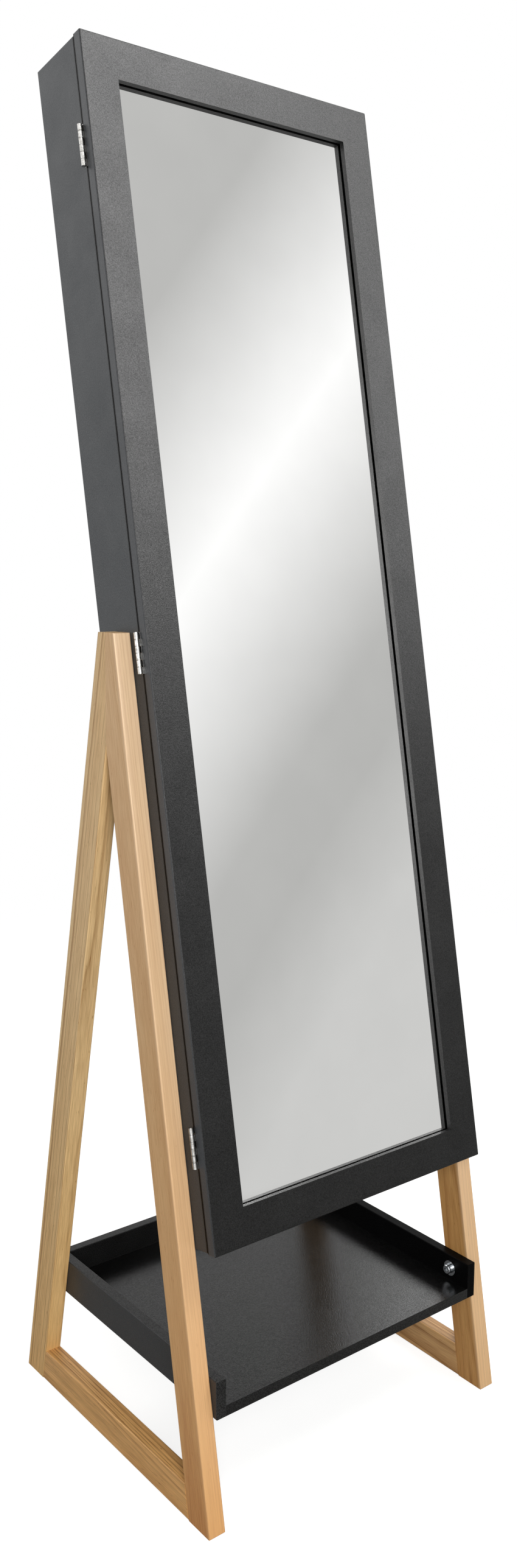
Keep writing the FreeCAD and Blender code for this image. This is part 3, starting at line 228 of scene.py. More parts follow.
def sprayed_paint(name, deep, pale, side_sheen_tone, gloss_range, side_at=CARCASS_SIDE, pits="#b6b6b6",
                  **uniform):
    """Black paint on board, cloudy between two tones, with a third, lighter tone on its sides as a painted sheen,
    and a painted shade beside the seam.

    The sides are side_at from the middle. Pits tints the reflection in the pits of the orange peel."""
    material, tree, shader = new_material(name, **uniform)
    place = add(tree, "TexCoord").outputs["Object"]
    peel = add(tree, "TexNoise", {"Vector": place, "Scale": grain(PEEL_MM), "Detail": 1})
    cloud = add(tree, "TexNoise", {"Vector": place, "Scale": grain(CLOUD_MM), "Detail": 3,
                                   "Distortion": 0.6})
    ripple = add(tree, "TexNoise", {"Vector": place, "Scale": grain(RIPPLE_MM), "Detail": 1})
    unshaded_by_seam = clear_of_seam(tree, place)
    tone = add(tree, "ValToRGB", {"Fac": cloud.outputs["Fac"]}, [(0.3, deep), (0.72, pale)])
    fleck = add(tree, "ValToRGB", {"Fac": peel.outputs["Fac"]}, [(0.36, "#303030"), (0.64, "#ffffff")])
    coat = add(tree, "Mix", {0: 1, 6: tone.outputs["Color"], 7: fleck.outputs["Color"]},
               data_type="RGBA", blend_type="MULTIPLY")
    # The lighter tone of the sides is a painted sheen, and it is left out beside the seam
    side_sheen = add(tree, "Math", {0: painted_side_sheen(tree, place, side_at), 1: unshaded_by_seam}, operation="MULTIPLY")
    colour = add(tree, "Mix", {0: side_sheen.outputs["Value"], 6: coat.outputs[2], 7: paint_mix(side_sheen_tone)},
                 data_type="RGBA")
    gloss = add(tree, "MapRange", {"Value": cloud.outputs["Fac"], "From Min": 0.3, "From Max": 0.7,
                                   "To Min": gloss_range[0], "To Max": gloss_range[1]})
    glints = add(tree, "ValToRGB", {"Fac": peel.outputs["Fac"]}, [(0.34, pits), (0.66, "#ffffff")])
    # Beside the seam the reflection is tinted dark: a painted shade of the gap
    shine_and_seam_shade = add(tree, "Mix", {0: unshaded_by_seam, 6: paint_mix(SEAM_SHADE_TINT), 7: glints.outputs["Color"]},
                data_type="RGBA")
    fine = add(tree, "Bump", {"Height": peel.outputs["Fac"], "Strength": 1, "Distance": PEEL_RELIEF})
    broad = add(tree, "Bump", {"Height": ripple.outputs["Fac"], "Strength": 1,
                               "Distance": RIPPLE_RELIEF, "Normal": fine.outputs["Normal"]})
    tree.links.new(colour.outputs[2], shader.inputs["Base Color"])
    tree.links.new(gloss.outputs["Result"], shader.inputs["Roughness"])
    tree.links.new(shine_and_seam_shade.outputs[2], shader.inputs["Specular Tint"])
    tree.links.new(broad.outputs["Normal"], shader.inputs["Normal"])
    return material


# The last colour of each paint is the painted sheen of its sides
finishes["black_paint"] = sprayed_paint(
    "satin_black_board_paint", "#0e0e0e", "#151515", "#2e3134", SATIN, IOR=1.43)
door_paint = sprayed_paint(
    "satin_black_door_paint", "#080808", "#0f0f0f", "#37393c", SATIN, side_at=DOOR_SIDE, pits="#cccccc",
    IOR=1.43)
own_paint = {
    "tray_floor": sprayed_paint(
        "wet_sprayed_black_paint", "#0d0d0d", "#131313", "#242424", (0.18, 0.22),
        pits="#868686", IOR=1.52),
    # A lighter copy of the black paint for the tray's left wall: painted light
    "tray_left_wall": sprayed_paint(
        "lit_copy_black_board_paint", "#202020", "#282828", "#2c2d2f", SATIN, IOR=1.4),
    # A darker, less reflective copy of the black paint for the tray's right wall: painted shade
    "tray_right_wall": sprayed_paint(
        "shaded_copy_black_board_paint", "#040404", "#070707", "#141414", (0.4, 0.48), IOR=1.12),
}
for name in ("door_left_stile", "door_right_stile", "door_top_rail", "door_bottom_rail"):
    own_paint[name] = door_paint
print("paint:", len(finishes["black_paint"].node_tree.nodes), "nodes")

# %% [markdown]
# ## Pine
# The side frames are planed pine with a clear lacquer. A board is a slice of a tree, so the honest way
# to draw its figure is to draw the tree: growth rings are circles round a pith line that lies
# outside the board, a little askew. Where a face cuts them nearly parallel they give long flames, and
# on the narrow edge they give straight lines. Each ring fades from pale spring wood to a darker summer
# line. Years differ, so the rings' widths and strengths do too. Short dark dashes are resin canals, and
# the wood is painted darker and warmer towards the floor, as shade. The front legs are paler at their
# front face, as sapwood and as painted light on that face.
# The rings follow each leg's own direction, so the pattern is turned to lie along the leg.

# %% Rings and fibres of pine
WANDER_MM, SWAY = 26, 9 * MM
WEATHER_PER_YEAR, WEATHER_SWING = 0.45, 3.2
FIBRE_MM, CANAL_MM = 0.9, 1.3


def drawn_out(share):
    """The scale that draws a pattern out along the grain, where it repeats this much less often."""
    return 1, 1, share


def growth_rings(tree, along, long_grain, pith, skew, ring_mm):
    """How dark the growth rings are at each place. Pith is where the tree's centre passes, in mm."""
    trunk = add(tree, "Mapping", {"Vector": along, "Location": (pith[0] * MM, pith[1] * MM, 0),
                                  "Rotation": (math.radians(skew[0]), math.radians(skew[1]), 0)})
    wander = add(tree, "TexNoise", {"Vector": long_grain, "Scale": grain(WANDER_MM), "Detail": 2})
    waver = add(tree, "VectorMath", {0: wander.outputs["Color"], 1: (0.5, 0.5, 0.5)},
                operation="SUBTRACT")
    sway = add(tree, "VectorMath", {0: waver.outputs["Vector"], "Scale": SWAY}, operation="SCALE")
    bent = add(tree, "VectorMath", {0: trunk.outputs["Vector"], 1: sway.outputs["Vector"]})
    flat = add(tree, "VectorMath", {0: bent.outputs["Vector"], 1: (1, 1, 0)}, operation="MULTIPLY")
    radius = add(tree, "VectorMath", {0: flat.outputs["Vector"]}, operation="LENGTH")
    years = add(tree, "Math", {0: radius.outputs["Value"], 1: grain(ring_mm)}, operation="MULTIPLY")
    weather = add(tree, "TexNoise", {"W": years.outputs["Value"], "Scale": WEATHER_PER_YEAR,
                                     "Detail": 1}, noise_dimensions="1D")
    rings = add(tree, "Math", {0: weather.outputs["Fac"], 1: WEATHER_SWING, 2: years.outputs["Value"]},
                operation="MULTIPLY_ADD")
    ring = add(tree, "Math", {0: rings.outputs["Value"]}, operation="FRACT")
    year = add(tree, "Math", {0: rings.outputs["Value"]}, operation="FLOOR")
    harvest = add(tree, "TexWhiteNoise", {"W": year.outputs["Value"]}, noise_dimensions="1D")
    strength = add(tree, "MapRange", {"Value": harvest.outputs["Value"], "To Min": 0.25, "To Max": 1})
    line = add(tree, "ValToRGB", {"Fac": ring.outputs["Value"]},
               [(0, (0.15, 0.15, 0.15, 1)), (0.3, (0, 0, 0, 1)), (0.72, (0.55, 0.55, 0.55, 1)),
                (0.88, (1, 1, 1, 1)), (1, (0.15, 0.15, 0.15, 1))])
    drawn = add(tree, "Math", {0: line.outputs["Color"], 1: strength.outputs["Result"]},
                operation="MULTIPLY")
    return drawn.outputs["Value"]


def fibres_and_canals(tree, along):
    """How dark the fibres and the resin canals are at each place, and how high the fibres stand."""
    fibre_way = add(tree, "Mapping", {"Vector": along, "Scale": drawn_out(0.03)})
    fibre = add(tree, "TexNoise", {"Vector": fibre_way.outputs["Vector"], "Scale": grain(FIBRE_MM),
                                   "Detail": 3})
    fibres = add(tree, "MapRange", {"Value": fibre.outputs["Fac"], "From Min": 0.35, "From Max": 0.7,
                                    "To Min": 0, "To Max": 0.4})
    canal_way = add(tree, "Mapping", {"Vector": along, "Scale": drawn_out(0.14)})
    canal = add(tree, "TexNoise", {"Vector": canal_way.outputs["Vector"], "Scale": grain(CANAL_MM)})
    dashes = add(tree, "MapRange", {"Value": canal.outputs["Fac"], "From Min": 0.68, "From Max": 0.76,
                                    "To Max": 0.55})
    marks = add(tree, "Math", {0: fibres.outputs["Result"], 1: dashes.outputs["Result"]})
    return marks.outputs["Value"], fibre.outputs["Fac"]


print("rings and fibres ready")

# %% Pine
STAIN_MM = 60
# A paler tone at the front legs' front face: sapwood, and painted light on that lit face
SAPWOOD_AND_LIT_FACE = "#f7e0c4"
SAP_AND_LIGHT_DEPTH, SAP_AND_LIGHT_FULL_DEPTH = 5 * MM, MM
# How high above the floor the painted shade at the foot reaches
FOOT_SHADE_TOP = 0.5
FIBRE_RELIEF = 0.04 * MM


def pine(name, turn, pith, skew, ring_mm, pale, dark, foot, lit_sap_face):
    """Pine with its grain along Z after the turn, in degrees.

    Foot is the colour of the painted shade near the floor, and the last argument is the turned Y of the front
    face, painted paler as sapwood and as light on that face."""
    material, tree, shader = new_material(name, IOR=1.5, Coat_Weight=0.12, Coat_Roughness=0.3)
    place = add(tree, "TexCoord").outputs["Object"]
    turned = add(tree, "Mapping", {"Vector": place, "Rotation": (math.radians(turn), 0, 0)})
    along = turned.outputs["Vector"]
    long_grain = add(tree, "Mapping", {"Vector": along, "Scale": drawn_out(0.06)}).outputs["Vector"]
    rings = growth_rings(tree, along, long_grain, pith, skew, ring_mm)
    marks, fibre_height = fibres_and_canals(tree, along)
    stain = add(tree, "TexNoise", {"Vector": long_grain, "Scale": grain(STAIN_MM), "Detail": 2})
    fade = add(tree, "MapRange", {"Value": stain.outputs["Fac"], "From Min": 0.3, "From Max": 0.7,
                                  "To Min": 0.6, "To Max": 1})
    figure = add(tree, "Math", {0: rings, 1: fade.outputs["Result"]}, operation="MULTIPLY")
    shade = add(tree, "Math", {0: figure.outputs["Value"], 1: marks}, use_clamp=True)
    wood = add(tree, "Mix", {0: shade.outputs["Value"], 6: paint_mix(pale), 7: paint_mix(dark)},
               data_type="RGBA")
    across = add(tree, "SeparateXYZ", {"Vector": along})
    # The front face is painted paler, as sapwood and as the light that face catches
    sap_and_light = add(tree, "MapRange", {"Value": across.outputs["Y"], "From Min": lit_sap_face + SAP_AND_LIGHT_DEPTH,
                                 "From Max": lit_sap_face + SAP_AND_LIGHT_FULL_DEPTH, "To Max": 0.5})
    sapwood_and_light = add(tree, "Mix", {0: sap_and_light.outputs["Result"], 6: wood.outputs[2], 7: paint_mix(SAPWOOD_AND_LIT_FACE)},
                   data_type="RGBA")
    # The wood is painted darker and warmer towards the floor: a painted shade, gone by half a metre up
    height = add(tree, "SeparateXYZ", {"Vector": place})
    rise = add(tree, "MapRange", {"Value": height.outputs["Z"], "From Max": FOOT_SHADE_TOP})
    foot_shade = add(tree, "ValToRGB", {"Fac": rise.outputs["Result"]}, [(0, foot), (1, "#ffffff")])
    shaded_to_foot = add(tree, "Mix", {0: 1, 6: sapwood_and_light.outputs[2], 7: foot_shade.outputs["Color"]},
                 data_type="RGBA", blend_type="MULTIPLY")
    drift = add(tree, "ValToRGB", {"Fac": stain.outputs["Fac"]}, [(0.3, "#f4e8d8"), (0.7, "#ffffff")])
    warm = add(tree, "Mix", {0: 1, 6: shaded_to_foot.outputs[2], 7: drift.outputs["Color"]},
               data_type="RGBA", blend_type="MULTIPLY")
    sheen = add(tree, "MapRange", {"Value": shade.outputs["Value"], "To Min": 0.42, "To Max": 0.56})
    relief = add(tree, "Bump", {"Height": fibre_height, "Strength": 1, "Distance": FIBRE_RELIEF})
    tree.links.new(warm.outputs[2], shader.inputs["Base Color"])
    tree.links.new(sheen.outputs["Result"], shader.inputs["Roughness"])
    tree.links.new(relief.outputs["Normal"], shader.inputs["Normal"])
    return material


print("pine ready")

# %% A tree for each board


def leg_turn(name):
    """How far a leg of a side frame is turned out of the upright, from its two ends."""
    points = mesh_points(nodes[name])
    foot = points[points[:, 2] < points[:, 2].min() + MM][:, 1]
    top = points[points[:, 2] > points[:, 2].max() - MM][:, 1]
    reach = points[:, 2].max() - points[:, 2].min()
    outer = min if "front" in name else max
    return math.degrees(math.atan2(outer(top) - outer(foot), reach))


# Pith in mm, skew in degrees, ring width in mm, then spring wood, summer line and the colour of the painted shade
# at the foot
trees = {
    "left_front_leg": ((352, 172), (0.5, 0.7), 5.5, "#e6c698", "#ae7438", "#f3d9b2"),
    "left_rear_leg": ((179, -8), (-0.3, 0.35), 3.6, "#f4d6a3", "#95682f", "#fff3d8"),
    "left_foot_rail": ((352, -22), (2.2, -1.7), 5.4, "#f1bf7b", "#8a5a26", "#ffffff"),
    "right_front_leg": ((-352, 172), (0.5, -0.7), 5, "#d2a76d", "#94612b", "#f6ead4"),
    "right_rear_leg": ((-114, -8), (-0.9, 0.35), 3.8, "#d8b685", "#95692f", "#ffffff"),
    "right_foot_rail": ((-352, -22), (2.2, 1.7), 5.4, "#deb27a", "#8a5926", "#ffffff"),
}
pine_boards = {}
for name, (pith, skew, ring_mm, pale, dark, foot) in trees.items():
    turn = 90 if "rail" in name else leg_turn(name)
    spin = math.radians(turn)
    turned_y = mesh_points(nodes[name]) @ (0, math.cos(spin), -math.sin(spin))
    lit_sap_face = turned_y.min() if "front" in name else -1
    pine_boards[name] = pine(f"lacquered_pine_{name}", turn, pith, skew, ring_mm, pale, dark, foot,
                             lit_sap_face)
    print(name, "grain turned", round(turn, 2), "degrees, rings", ring_mm, "mm wide")

# %% [markdown]
# ## Plated metal
# The hinges, rods and pegs are nickel plated: a warm, bright metal that was polished before plating,
# so its roughness is low but not even. Bolts, washers, most screws and clips are zinc plated steel,
# which is cooler, with a finer mottle where the zinc has crystallised. The inserts are bare cast zinc,
# which is matt. All are plain metals to the shader, with metallic at one, so their looks come from
# colour, roughness and tiny bumps.

# %% Metals
SCUFF_MM = 0.5


def plated(name, bright, dull, smooth, rough, mottle_mm, dent):
    """Plated metal whose colour and roughness drift between two values. Dent is its relief in mm."""
    material, tree, shader = new_material(name, Metallic=1)
    place = add(tree, "TexCoord").outputs["Object"]
    mottle = add(tree, "TexNoise", {"Vector": place, "Scale": grain(mottle_mm), "Detail": 4})
    scuff = add(tree, "TexNoise", {"Vector": place, "Scale": grain(SCUFF_MM), "Detail": 2})
    tone = add(tree, "ValToRGB", {"Fac": mottle.outputs["Fac"]}, [(0.35, dull), (0.65, bright)])
    gloss = add(tree, "MapRange", {"Value": mottle.outputs["Fac"], "From Min": 0.3, "From Max": 0.7,
                                   "To Min": rough, "To Max": smooth})
    bump = add(tree, "Bump", {"Height": scuff.outputs["Fac"], "Strength": 1, "Distance": dent * MM})
    tree.links.new(tone.outputs["Color"], shader.inputs["Base Color"])
    tree.links.new(gloss.outputs["Result"], shader.inputs["Roughness"])
    tree.links.new(bump.outputs["Normal"], shader.inputs["Normal"])
    return material


finishes["nickel"] = plated("polished_nickel_plate", "#c3c2c0", "#96948f", 0.16, 0.28, 3, 0.004)
finishes["bright_steel"] = plated(
    "bright_zinc_plated_steel", "#c4c6c8", "#8f9498", 0.14, 0.26, 2, 0.006)
finishes["zinc"] = plated("raw_zinc_insert", "#b3b5b7", "#8b8e91", 0.38, 0.52, 2, 0.012)
print("metals:", ", ".join(sorted(finishes)))

# %% [markdown]
# ## The small quiet materials
# A few pieces show only when the door is open: a brown hardboard sheet behind the mirror, beech dowels,
# a black moulded catch and two rubber bumpers. They share one recipe, a colour that drifts between two
# tones and a bump at the size of the real texture: fibres, pores or the grain of a mould.

# %% Board, beech, plastic and rubber
PATCH_TIMES = 14


def speckled(name, light, deep, size_mm, stretch, rough, dent, **uniform):
    """A matt material with a fine texture, stretched along Z where stretch is under one.

    Rough is its roughness, and dent its relief in mm."""
    material, tree, shader = new_material(name, Roughness=rough, **uniform)
    place = add(tree, "TexCoord").outputs["Object"]
    pulled = add(tree, "Mapping", {"Vector": place, "Scale": (1, 1, stretch)})
    texture = add(tree, "TexNoise", {"Vector": pulled.outputs["Vector"], "Scale": grain(size_mm),
                                     "Detail": 4})
    patch = add(tree, "TexNoise", {"Vector": place, "Scale": grain(size_mm * PATCH_TIMES), "Detail": 2})
    tone = add(tree, "ValToRGB", {"Fac": texture.outputs["Fac"]}, [(0.35, deep), (0.68, light)])
    cloud = add(tree, "ValToRGB", {"Fac": patch.outputs["Fac"]}, [(0.3, "#d9d9d9"), (0.7, "#ffffff")])
    colour = add(tree, "Mix", {0: 1, 6: tone.outputs["Color"], 7: cloud.outputs["Color"]},
                 data_type="RGBA", blend_type="MULTIPLY")
    bump = add(tree, "Bump", {"Height": texture.outputs["Fac"], "Strength": 1, "Distance": dent * MM})
    tree.links.new(colour.outputs[2], shader.inputs["Base Color"])
    tree.links.new(bump.outputs["Normal"], shader.inputs["Normal"])
    return material


finishes["hardboard"] = speckled("pressed_hardboard", "#7a5433", "#4c3119", 1.6, 1, 0.62, 0.05)
finishes["dowel_wood"] = speckled("bare_beech_dowel", "#d9b98c", "#b98f5f", 0.8, 0.15, 0.6, 0.04)
finishes["black_plastic"] = speckled("moulded_black_plastic", "#1d1d1e", "#121213", 0.7, 1, 0.5, 0.02)
finishes["bumper_rubber"] = speckled("soft_black_rubber", "#2b2b2b", "#1c1c1c", 0.5, 1, 0.8, 0.02)
print("quiet materials done")

# %% [markdown]
# ## Put the finishes on the CAD pieces
# The model's record says which finish each piece has, so one loop can dress them all.
# A board with a recipe of its own is looked up first: each pine board has its own grain direction and
# tree, the tray's floor and the four boards of the door were sprayed differently from the cabinet, and
# the tray's two walls get a lit and a shaded copy of the paint.

# %% Dress the CAD pieces
for part in frame["record"]["subparts"]:
    name, slot = part["node"], part["material_slot"]
    finish = pine_boards.get(name) or own_paint.get(name) or finishes.get(slot)
    if finish:
        for holder in nodes[name].material_slots:
            holder.material = finish

# %% [markdown]
# ## The mirror
# A mirror is a clear sheet with silver on its back. Seen at a slant, the silver seems to lie about two
# thirds of the way down, so between the frame's lit inner edge and its reflection there is a thin dark
# gap. A metal sheet at the glass's front face would lose that gap. Clear glass over silver would keep
# it but needs refraction everywhere, so the silver is a thin plate at the depth where it is seen.

# %% Silvered mirror
SILVER_DEPTH_SHARE = 2 / 3
GROUND_EDGE = 0.2 * MM
HAZE_MM, HAZE_ROUGHNESS = 60, 0.012


def leaning_plate(name, low, high, edge):
    """A flat plate between two corners of the leaning cabinet, with narrow ground edges."""
    bpy.ops.object.select_all(action="DESELECT")
    middle, size = (low + high) / 2, high - low
    bpy.ops.mesh.primitive_cube_add(size=1, location=room(*middle), rotation=(-LEAN, 0, 0),
                                    scale=size)
    plate = bpy.context.object
    plate.name = plate.data.name = name
    bpy.ops.object.transform_apply(location=True, rotation=True, scale=True)
    bpy.ops.object.mode_set(mode="EDIT")
    bpy.ops.mesh.select_all(action="SELECT")
    bpy.ops.mesh.bevel(offset=edge, segments=2)
    bpy.ops.object.mode_set(mode="OBJECT")
    return plate


silver_low, silver_high = leaning_box("mirror_glass")
silver_low[1] += SILVER_DEPTH_SHARE * (silver_high[1] - silver_low[1])
silver = leaning_plate("mirror_silver", silver_low, silver_high, GROUND_EDGE)

mirror, tree, shader = new_material("silvered_float_glass", Metallic=1)
place = add(tree, "TexCoord").outputs["Object"]
haze = add(tree, "TexNoise", {"Vector": place, "Scale": grain(HAZE_MM), "Detail": 2})
tint = add(tree, "ValToRGB", {"Fac": haze.outputs["Fac"]}, [(0.3, "#eeeeed"), (0.7, "#f1f1f0")])
clean = add(tree, "MapRange", {"Value": haze.outputs["Fac"], "From Min": 0.3, "From Max": 0.7,
                               "To Min": 0, "To Max": HAZE_ROUGHNESS})
tree.links.new(tint.outputs["Color"], shader.inputs["Base Color"])
tree.links.new(clean.outputs["Result"], shader.inputs["Roughness"])
silver.data.materials.append(mirror)
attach(silver, "door")
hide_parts("mirror_glass")
print("mirror", *(round(v * 1000) for v in silver_high - silver_low), "mm")

# %% [markdown]
# ## The ring cushion
# Rings are pushed into the grips between six padded rolls covered in short black velvet.
# Foam under tight cloth bulges between its seams, and the easiest way to get that bulge right
# is to let Blender blow the shape up like a cushion: the CAD solid is copied, remeshed evenly, and
# simulated as cloth with air pressure for twenty steps. The back stays pinned to the panel that it is
# glued to, and no point may wander more than a few millimetres, so the cushion stays in its place.

# %% Stuff the cushion
VOXEL = 4 * MM
SAME_PLACE = 0.05 * MM
START_SMALLER = 1.5 * MM
PRESSURE, STEPS = 4, 20
SWELL_LIMIT = 5 * MM

bpy.ops.object.select_all(action="DESELECT")
cushion = nodes["ring_cushion"].copy()
cushion.data = nodes["ring_cushion"].data.copy()
cushion.name = cushion.data.name = "velvet_ring_cushion"
cushion.parent = None
for key in list(cushion.keys()):
    del cushion[key]
bpy.context.scene.collection.objects.link(cushion)
bpy.context.view_layer.objects.active = cushion
cushion.select_set(True)
bpy.ops.object.mode_set(mode="EDIT")
bpy.ops.mesh.select_all(action="SELECT")
bpy.ops.mesh.remove_doubles(threshold=SAME_PLACE)
bpy.ops.mesh.normals_make_consistent(inside=False)
bpy.ops.object.mode_set(mode="OBJECT")
remesh = cushion.modifiers.new("even_grid", "REMESH")
remesh.mode = "VOXEL"
remesh.voxel_size = VOXEL
bpy.ops.object.modifier_apply(modifier="even_grid")
bpy.ops.object.mode_set(mode="EDIT")
bpy.ops.mesh.select_all(action="SELECT")
bpy.ops.transform.shrink_fatten(value=-START_SMALLER)
bpy.ops.object.mode_set(mode="OBJECT")
start = mesh_points(cushion)
glued = cushion.vertex_groups.new(name="glued_to_panel")
back_plane = (start @ back_way).max()
glued.add([int(i) for i in np.flatnonzero(start @ back_way > back_plane - MM)], 1, "REPLACE")
cloth = cushion.modifiers.new("stuffing", "CLOTH")
cloth.settings.use_pressure = True
cloth.settings.uniform_pressure_force = PRESSURE
cloth.settings.effector_weights.gravity = 0
cloth.settings.vertex_group_mass = "glued_to_panel"
for step in range(1, STEPS + 1):
    bpy.context.scene.frame_set(step)
bpy.ops.object.modifier_apply(modifier="stuffing")
bpy.context.scene.frame_set(1)
moved = mesh_points(cushion) - start
far = np.linalg.norm(moved, axis=1, keepdims=True)
capped = start + moved * (SWELL_LIMIT / np.maximum(far, SWELL_LIMIT))
cushion.data.vertices.foreach_set("co", capped.ravel())
print("swelled by up to", round(float(far.max()) * 1000, 1), "mm before the limit")
smooth = cushion.modifiers.new("smooth", "SUBSURF")
smooth.levels = smooth.render_levels = 1
bpy.ops.object.modifier_apply(modifier="smooth")
bpy.ops.object.shade_smooth()
print("cushion:", len(cushion.data.polygons), "faces")

# %% Velvet
PILE_MM, NAP_MM = 0.7, 22
PILE_RELIEF = 0.15 * MM
velvet, tree, shader = new_material("short_black_velvet", Roughness=0.9, Sheen_Weight=0.5,
                                    Sheen_Roughness=0.35, Sheen_Tint=paint_mix("#b8b8c4"))
place = add(tree, "TexCoord").outputs["Object"]
pile = add(tree, "TexNoise", {"Vector": place, "Scale": grain(PILE_MM), "Detail": 2})
nap = add(tree, "TexNoise", {"Vector": place, "Scale": grain(NAP_MM), "Detail": 3, "Distortion": 1})
brushed = add(tree, "ValToRGB", {"Fac": nap.outputs["Fac"]}, [(0.4, "#121214"), (0.62, "#1f1f23")])
tufts = add(tree, "ValToRGB", {"Fac": pile.outputs["Fac"]}, [(0.3, "#8c8c8c"), (0.7, "#ffffff")])
colour = add(tree, "Mix", {0: 1, 6: brushed.outputs["Color"], 7: tufts.outputs["Color"]},
             data_type="RGBA", blend_type="MULTIPLY")
bump = add(tree, "Bump", {"Height": pile.outputs["Fac"], "Strength": 1, "Distance": PILE_RELIEF})
tree.links.new(colour.outputs[2], shader.inputs["Base Color"])
tree.links.new(bump.outputs["Normal"], shader.inputs["Normal"])
cushion.data.materials.clear()
cushion.data.materials.append(velvet)
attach(cushion, "stand")
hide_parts("ring_cushion")
print("velvet:", len(tree.nodes), "nodes")

# %% [markdown]
# ## The studio
# The photograph shows the cabinet on plain white. The floor is a pale sheet that catches a soft shadow.
# For the camera it is lifted to white by a little glow of its own, which lights nothing else, and
# further out it fades into the white surroundings. Reflections look straight through its far part,
# so that no horizon shows in the mirror either.
# The surroundings are white to the camera too, but give only a moderate light, so that colours come
# out as written. What the mirror sees is another matter: it faces a pale grey room with one long bright
# soft strip across it. So for reflections the surroundings have that strip, painted by direction.

# %% Floor
FLOOR_RADIUS, FLOOR_DROP = 6, 0.3 * MM
FADE_START, FADE_END = 1.3, 2.3
NEAR_GLOW, FAR_GLOW = 0.79, 1
DUST_MM = 90
bpy.ops.object.select_all(action="DESELECT")
bpy.ops.mesh.primitive_circle_add(vertices=96, radius=FLOOR_RADIUS, fill_type="NGON",
                                  location=(0, 0, -FLOOR_DROP))
floor = bpy.context.object
floor.name = floor.data.name = "floor"
sheet, tree, shader = new_material("pale_studio_floor", Roughness=0.9, Specular_IOR_Level=0)
place = add(tree, "TexCoord").outputs["Object"]
dust = add(tree, "TexNoise", {"Vector": place, "Scale": grain(DUST_MM), "Detail": 2})
pale_tone = add(tree, "ValToRGB", {"Fac": dust.outputs["Fac"]}, [(0.3, "#aaaaa8"), (0.7, "#aeaeac")])
reach = add(tree, "VectorMath", {0: place}, operation="LENGTH")
away = add(tree, "MapRange", {"Value": reach.outputs["Value"], "From Min": FADE_START,
                              "From Max": FADE_END}, interpolation_type="SMOOTHSTEP")
body = add(tree, "Mix", {0: away.outputs["Result"], 6: pale_tone.outputs["Color"], 7: (0, 0, 0, 1)},
           data_type="RGBA")
path = add(tree, "LightPath")
for_camera = add(tree, "MapRange", {"Value": away.outputs["Result"], "To Min": NEAR_GLOW,
                                    "To Max": FAR_GLOW})
to_camera = add(tree, "Math", {0: path.outputs["Is Camera Ray"], 1: for_camera.outputs["Result"]},
                operation="MULTIPLY")
in_mirror = add(tree, "Math", {0: path.outputs["Is Glossy Ray"],
                               1: path.outputs["Is Transmission Ray"]}, operation="MAXIMUM")
gone = add(tree, "Math", {0: in_mirror.outputs["Value"], 1: away.outputs["Result"]},
           operation="MULTIPLY")
see_through = add(tree, "BsdfTransparent")
surface = add(tree, "MixShader", {0: gone.outputs["Value"], 1: shader.outputs["BSDF"],
                                  2: see_through.outputs["BSDF"]})
shader.inputs["Emission Color"].default_value = (1, 1, 1, 1)
tree.links.new(body.outputs[2], shader.inputs["Base Color"])
tree.links.new(to_camera.outputs["Value"], shader.inputs["Emission Strength"])
tree.links.new(surface.outputs["Shader"], tree.nodes["Material Output"].inputs["Surface"])
floor.data.materials.append(sheet)
print("floor", floor.dimensions.x, "m wide")

# %% Surroundings
AMBIENT = 0.28
STRIP_AXIS = (0.7801, 0.1064, -0.6166)
STRIP_OFFSET = 0.1807
RAMP_REACH = 0.5
ROOM_GREY = 0.69
WARM_TRACE = 0.035
world = bpy.data.worlds.new("studio")
bpy.context.scene.world = world
world.use_nodes = True
tree = world.node_tree
tree.nodes.clear()
toward = add(tree, "TexCoord").outputs["Generated"]
across = add(tree, "VectorMath", {0: toward, 1: STRIP_AXIS}, operation="DOT_PRODUCT")
ramp_place = add(tree, "MapRange", {"Value": across.outputs["Value"],
                                    "From Min": STRIP_OFFSET - RAMP_REACH,
                                    "From Max": STRIP_OFFSET + RAMP_REACH})


def grey(level):
    """A level of grey for the surroundings, 1 for white, a trace warmer where it is darker."""
    return (level, level, level * (1 - WARM_TRACE * (1 - min(level, 1))), 1)


strip = add(tree, "ValToRGB", {"Fac": ramp_place.outputs["Result"]},
            [(0, grey(1.8)), (0.12, grey(1)), (0.25, grey(0.6)), (0.37, grey(0.57)),
             (0.435, grey(0.86)), (0.5, grey(1.16)), (0.565, grey(0.86)), (0.635, grey(0.56)),
             (0.68, grey(0.54)), (0.745, grey(ROOM_GREY)), (1, grey(ROOM_GREY))])
path = add(tree, "LightPath")
mirrored = add(tree, "Math", {0: path.outputs["Is Glossy Ray"],
                              1: path.outputs["Is Transmission Ray"]}, operation="MAXIMUM")
lighting = add(tree, "Mix", {0: mirrored.outputs["Value"], 6: grey(AMBIENT), 7: strip.outputs["Color"]},
               data_type="RGBA")
colour = add(tree, "Mix", {0: path.outputs["Is Camera Ray"], 6: lighting.outputs[2], 7: grey(1)},
             data_type="RGBA")
background = add(tree, "Background", {"Color": colour.outputs[2], "Strength": 1})
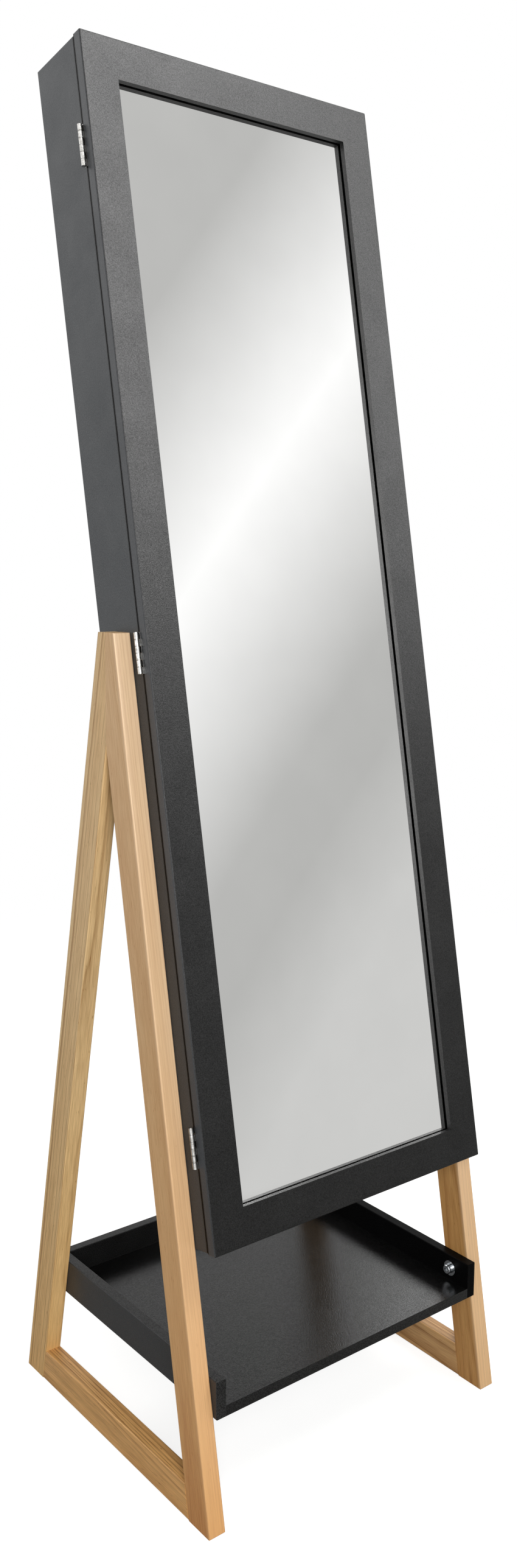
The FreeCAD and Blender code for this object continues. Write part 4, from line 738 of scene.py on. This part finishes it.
add(tree, "OutputWorld", {"Surface": background.outputs["Background"]})
print("surroundings:", len(tree.nodes), "nodes")

# %% [markdown]
# ## Lamps
# Black satin paint is lit by its reflections, as product photographers know, so soft boxes stand
# around the direction that the door reflects, but not inside what the mirror shows to the camera.
# One tall box stands in front and one at the right. Both show only as sheen, which gives the frame a
# soft glow that fades towards the floor and leaves the wood alone. A third box hangs above. Behind the
# object stand a weak one for the sheen on the tray's right half, and a large one that keeps the back
# from being dim and never shows as sheen. The last box, at the front left, lights the pine, its front
# faces more than its outer ones. The camera sees none of them, as with lamps outside the picture.

# %% Lamps


def soft_box(name, place, facing, size, glow, matt=True, sheen=True):
    """A rectangular lamp that faces along a direction. Glow is its brightness, where 1 looks white.

    Matt and sheen say whether it lights matt surfaces and whether it shows in glossy ones."""
    lamp = bpy.data.lights.new(name, "AREA")
    lamp.shape = "RECTANGLE"
    lamp.size, lamp.size_y = size
    lamp.energy = glow * math.pi * size[0] * size[1]
    holder = bpy.data.objects.new(name, lamp)
    holder.location = place
    holder.rotation_euler = Vector(facing).to_track_quat("-Z", "Y").to_euler()
    holder.visible_camera = False
    holder.visible_diffuse = matt
    holder.visible_glossy = sheen
    bpy.context.scene.collection.objects.link(holder)
    print(name, "uses", round(lamp.energy), "W")


soft_box("front_soft_box", (0.82, -1.85, 2.45), (0, 1, 0), (0.5, 1.7), 21, matt=False)
soft_box("right_soft_box", (2.52, -1.75, 2.3), (-1, 0.75, 0), (0.6, 1.7), 11.5, matt=False)
soft_box("high_soft_box", (1.35, -1.35, 3.4), (-0.4, 0.55, -0.9), (1.7, 0.8), 10)
soft_box("tray_soft_box", (2.26, 1.79, 1.75), (-0.75, -0.6, -0.5), (0.55, 1.1), 1.9, matt=False)
soft_box("rear_soft_box", (0.3, 2.9, 1.9), (-0.1, -1, -0.3), (2, 1.6), 4.5, sheen=False)
soft_box("left_soft_box", (-1.35, -2.5, 1.6), (0.42, 0.9, -0.35), (1.3, 1.7), 10)
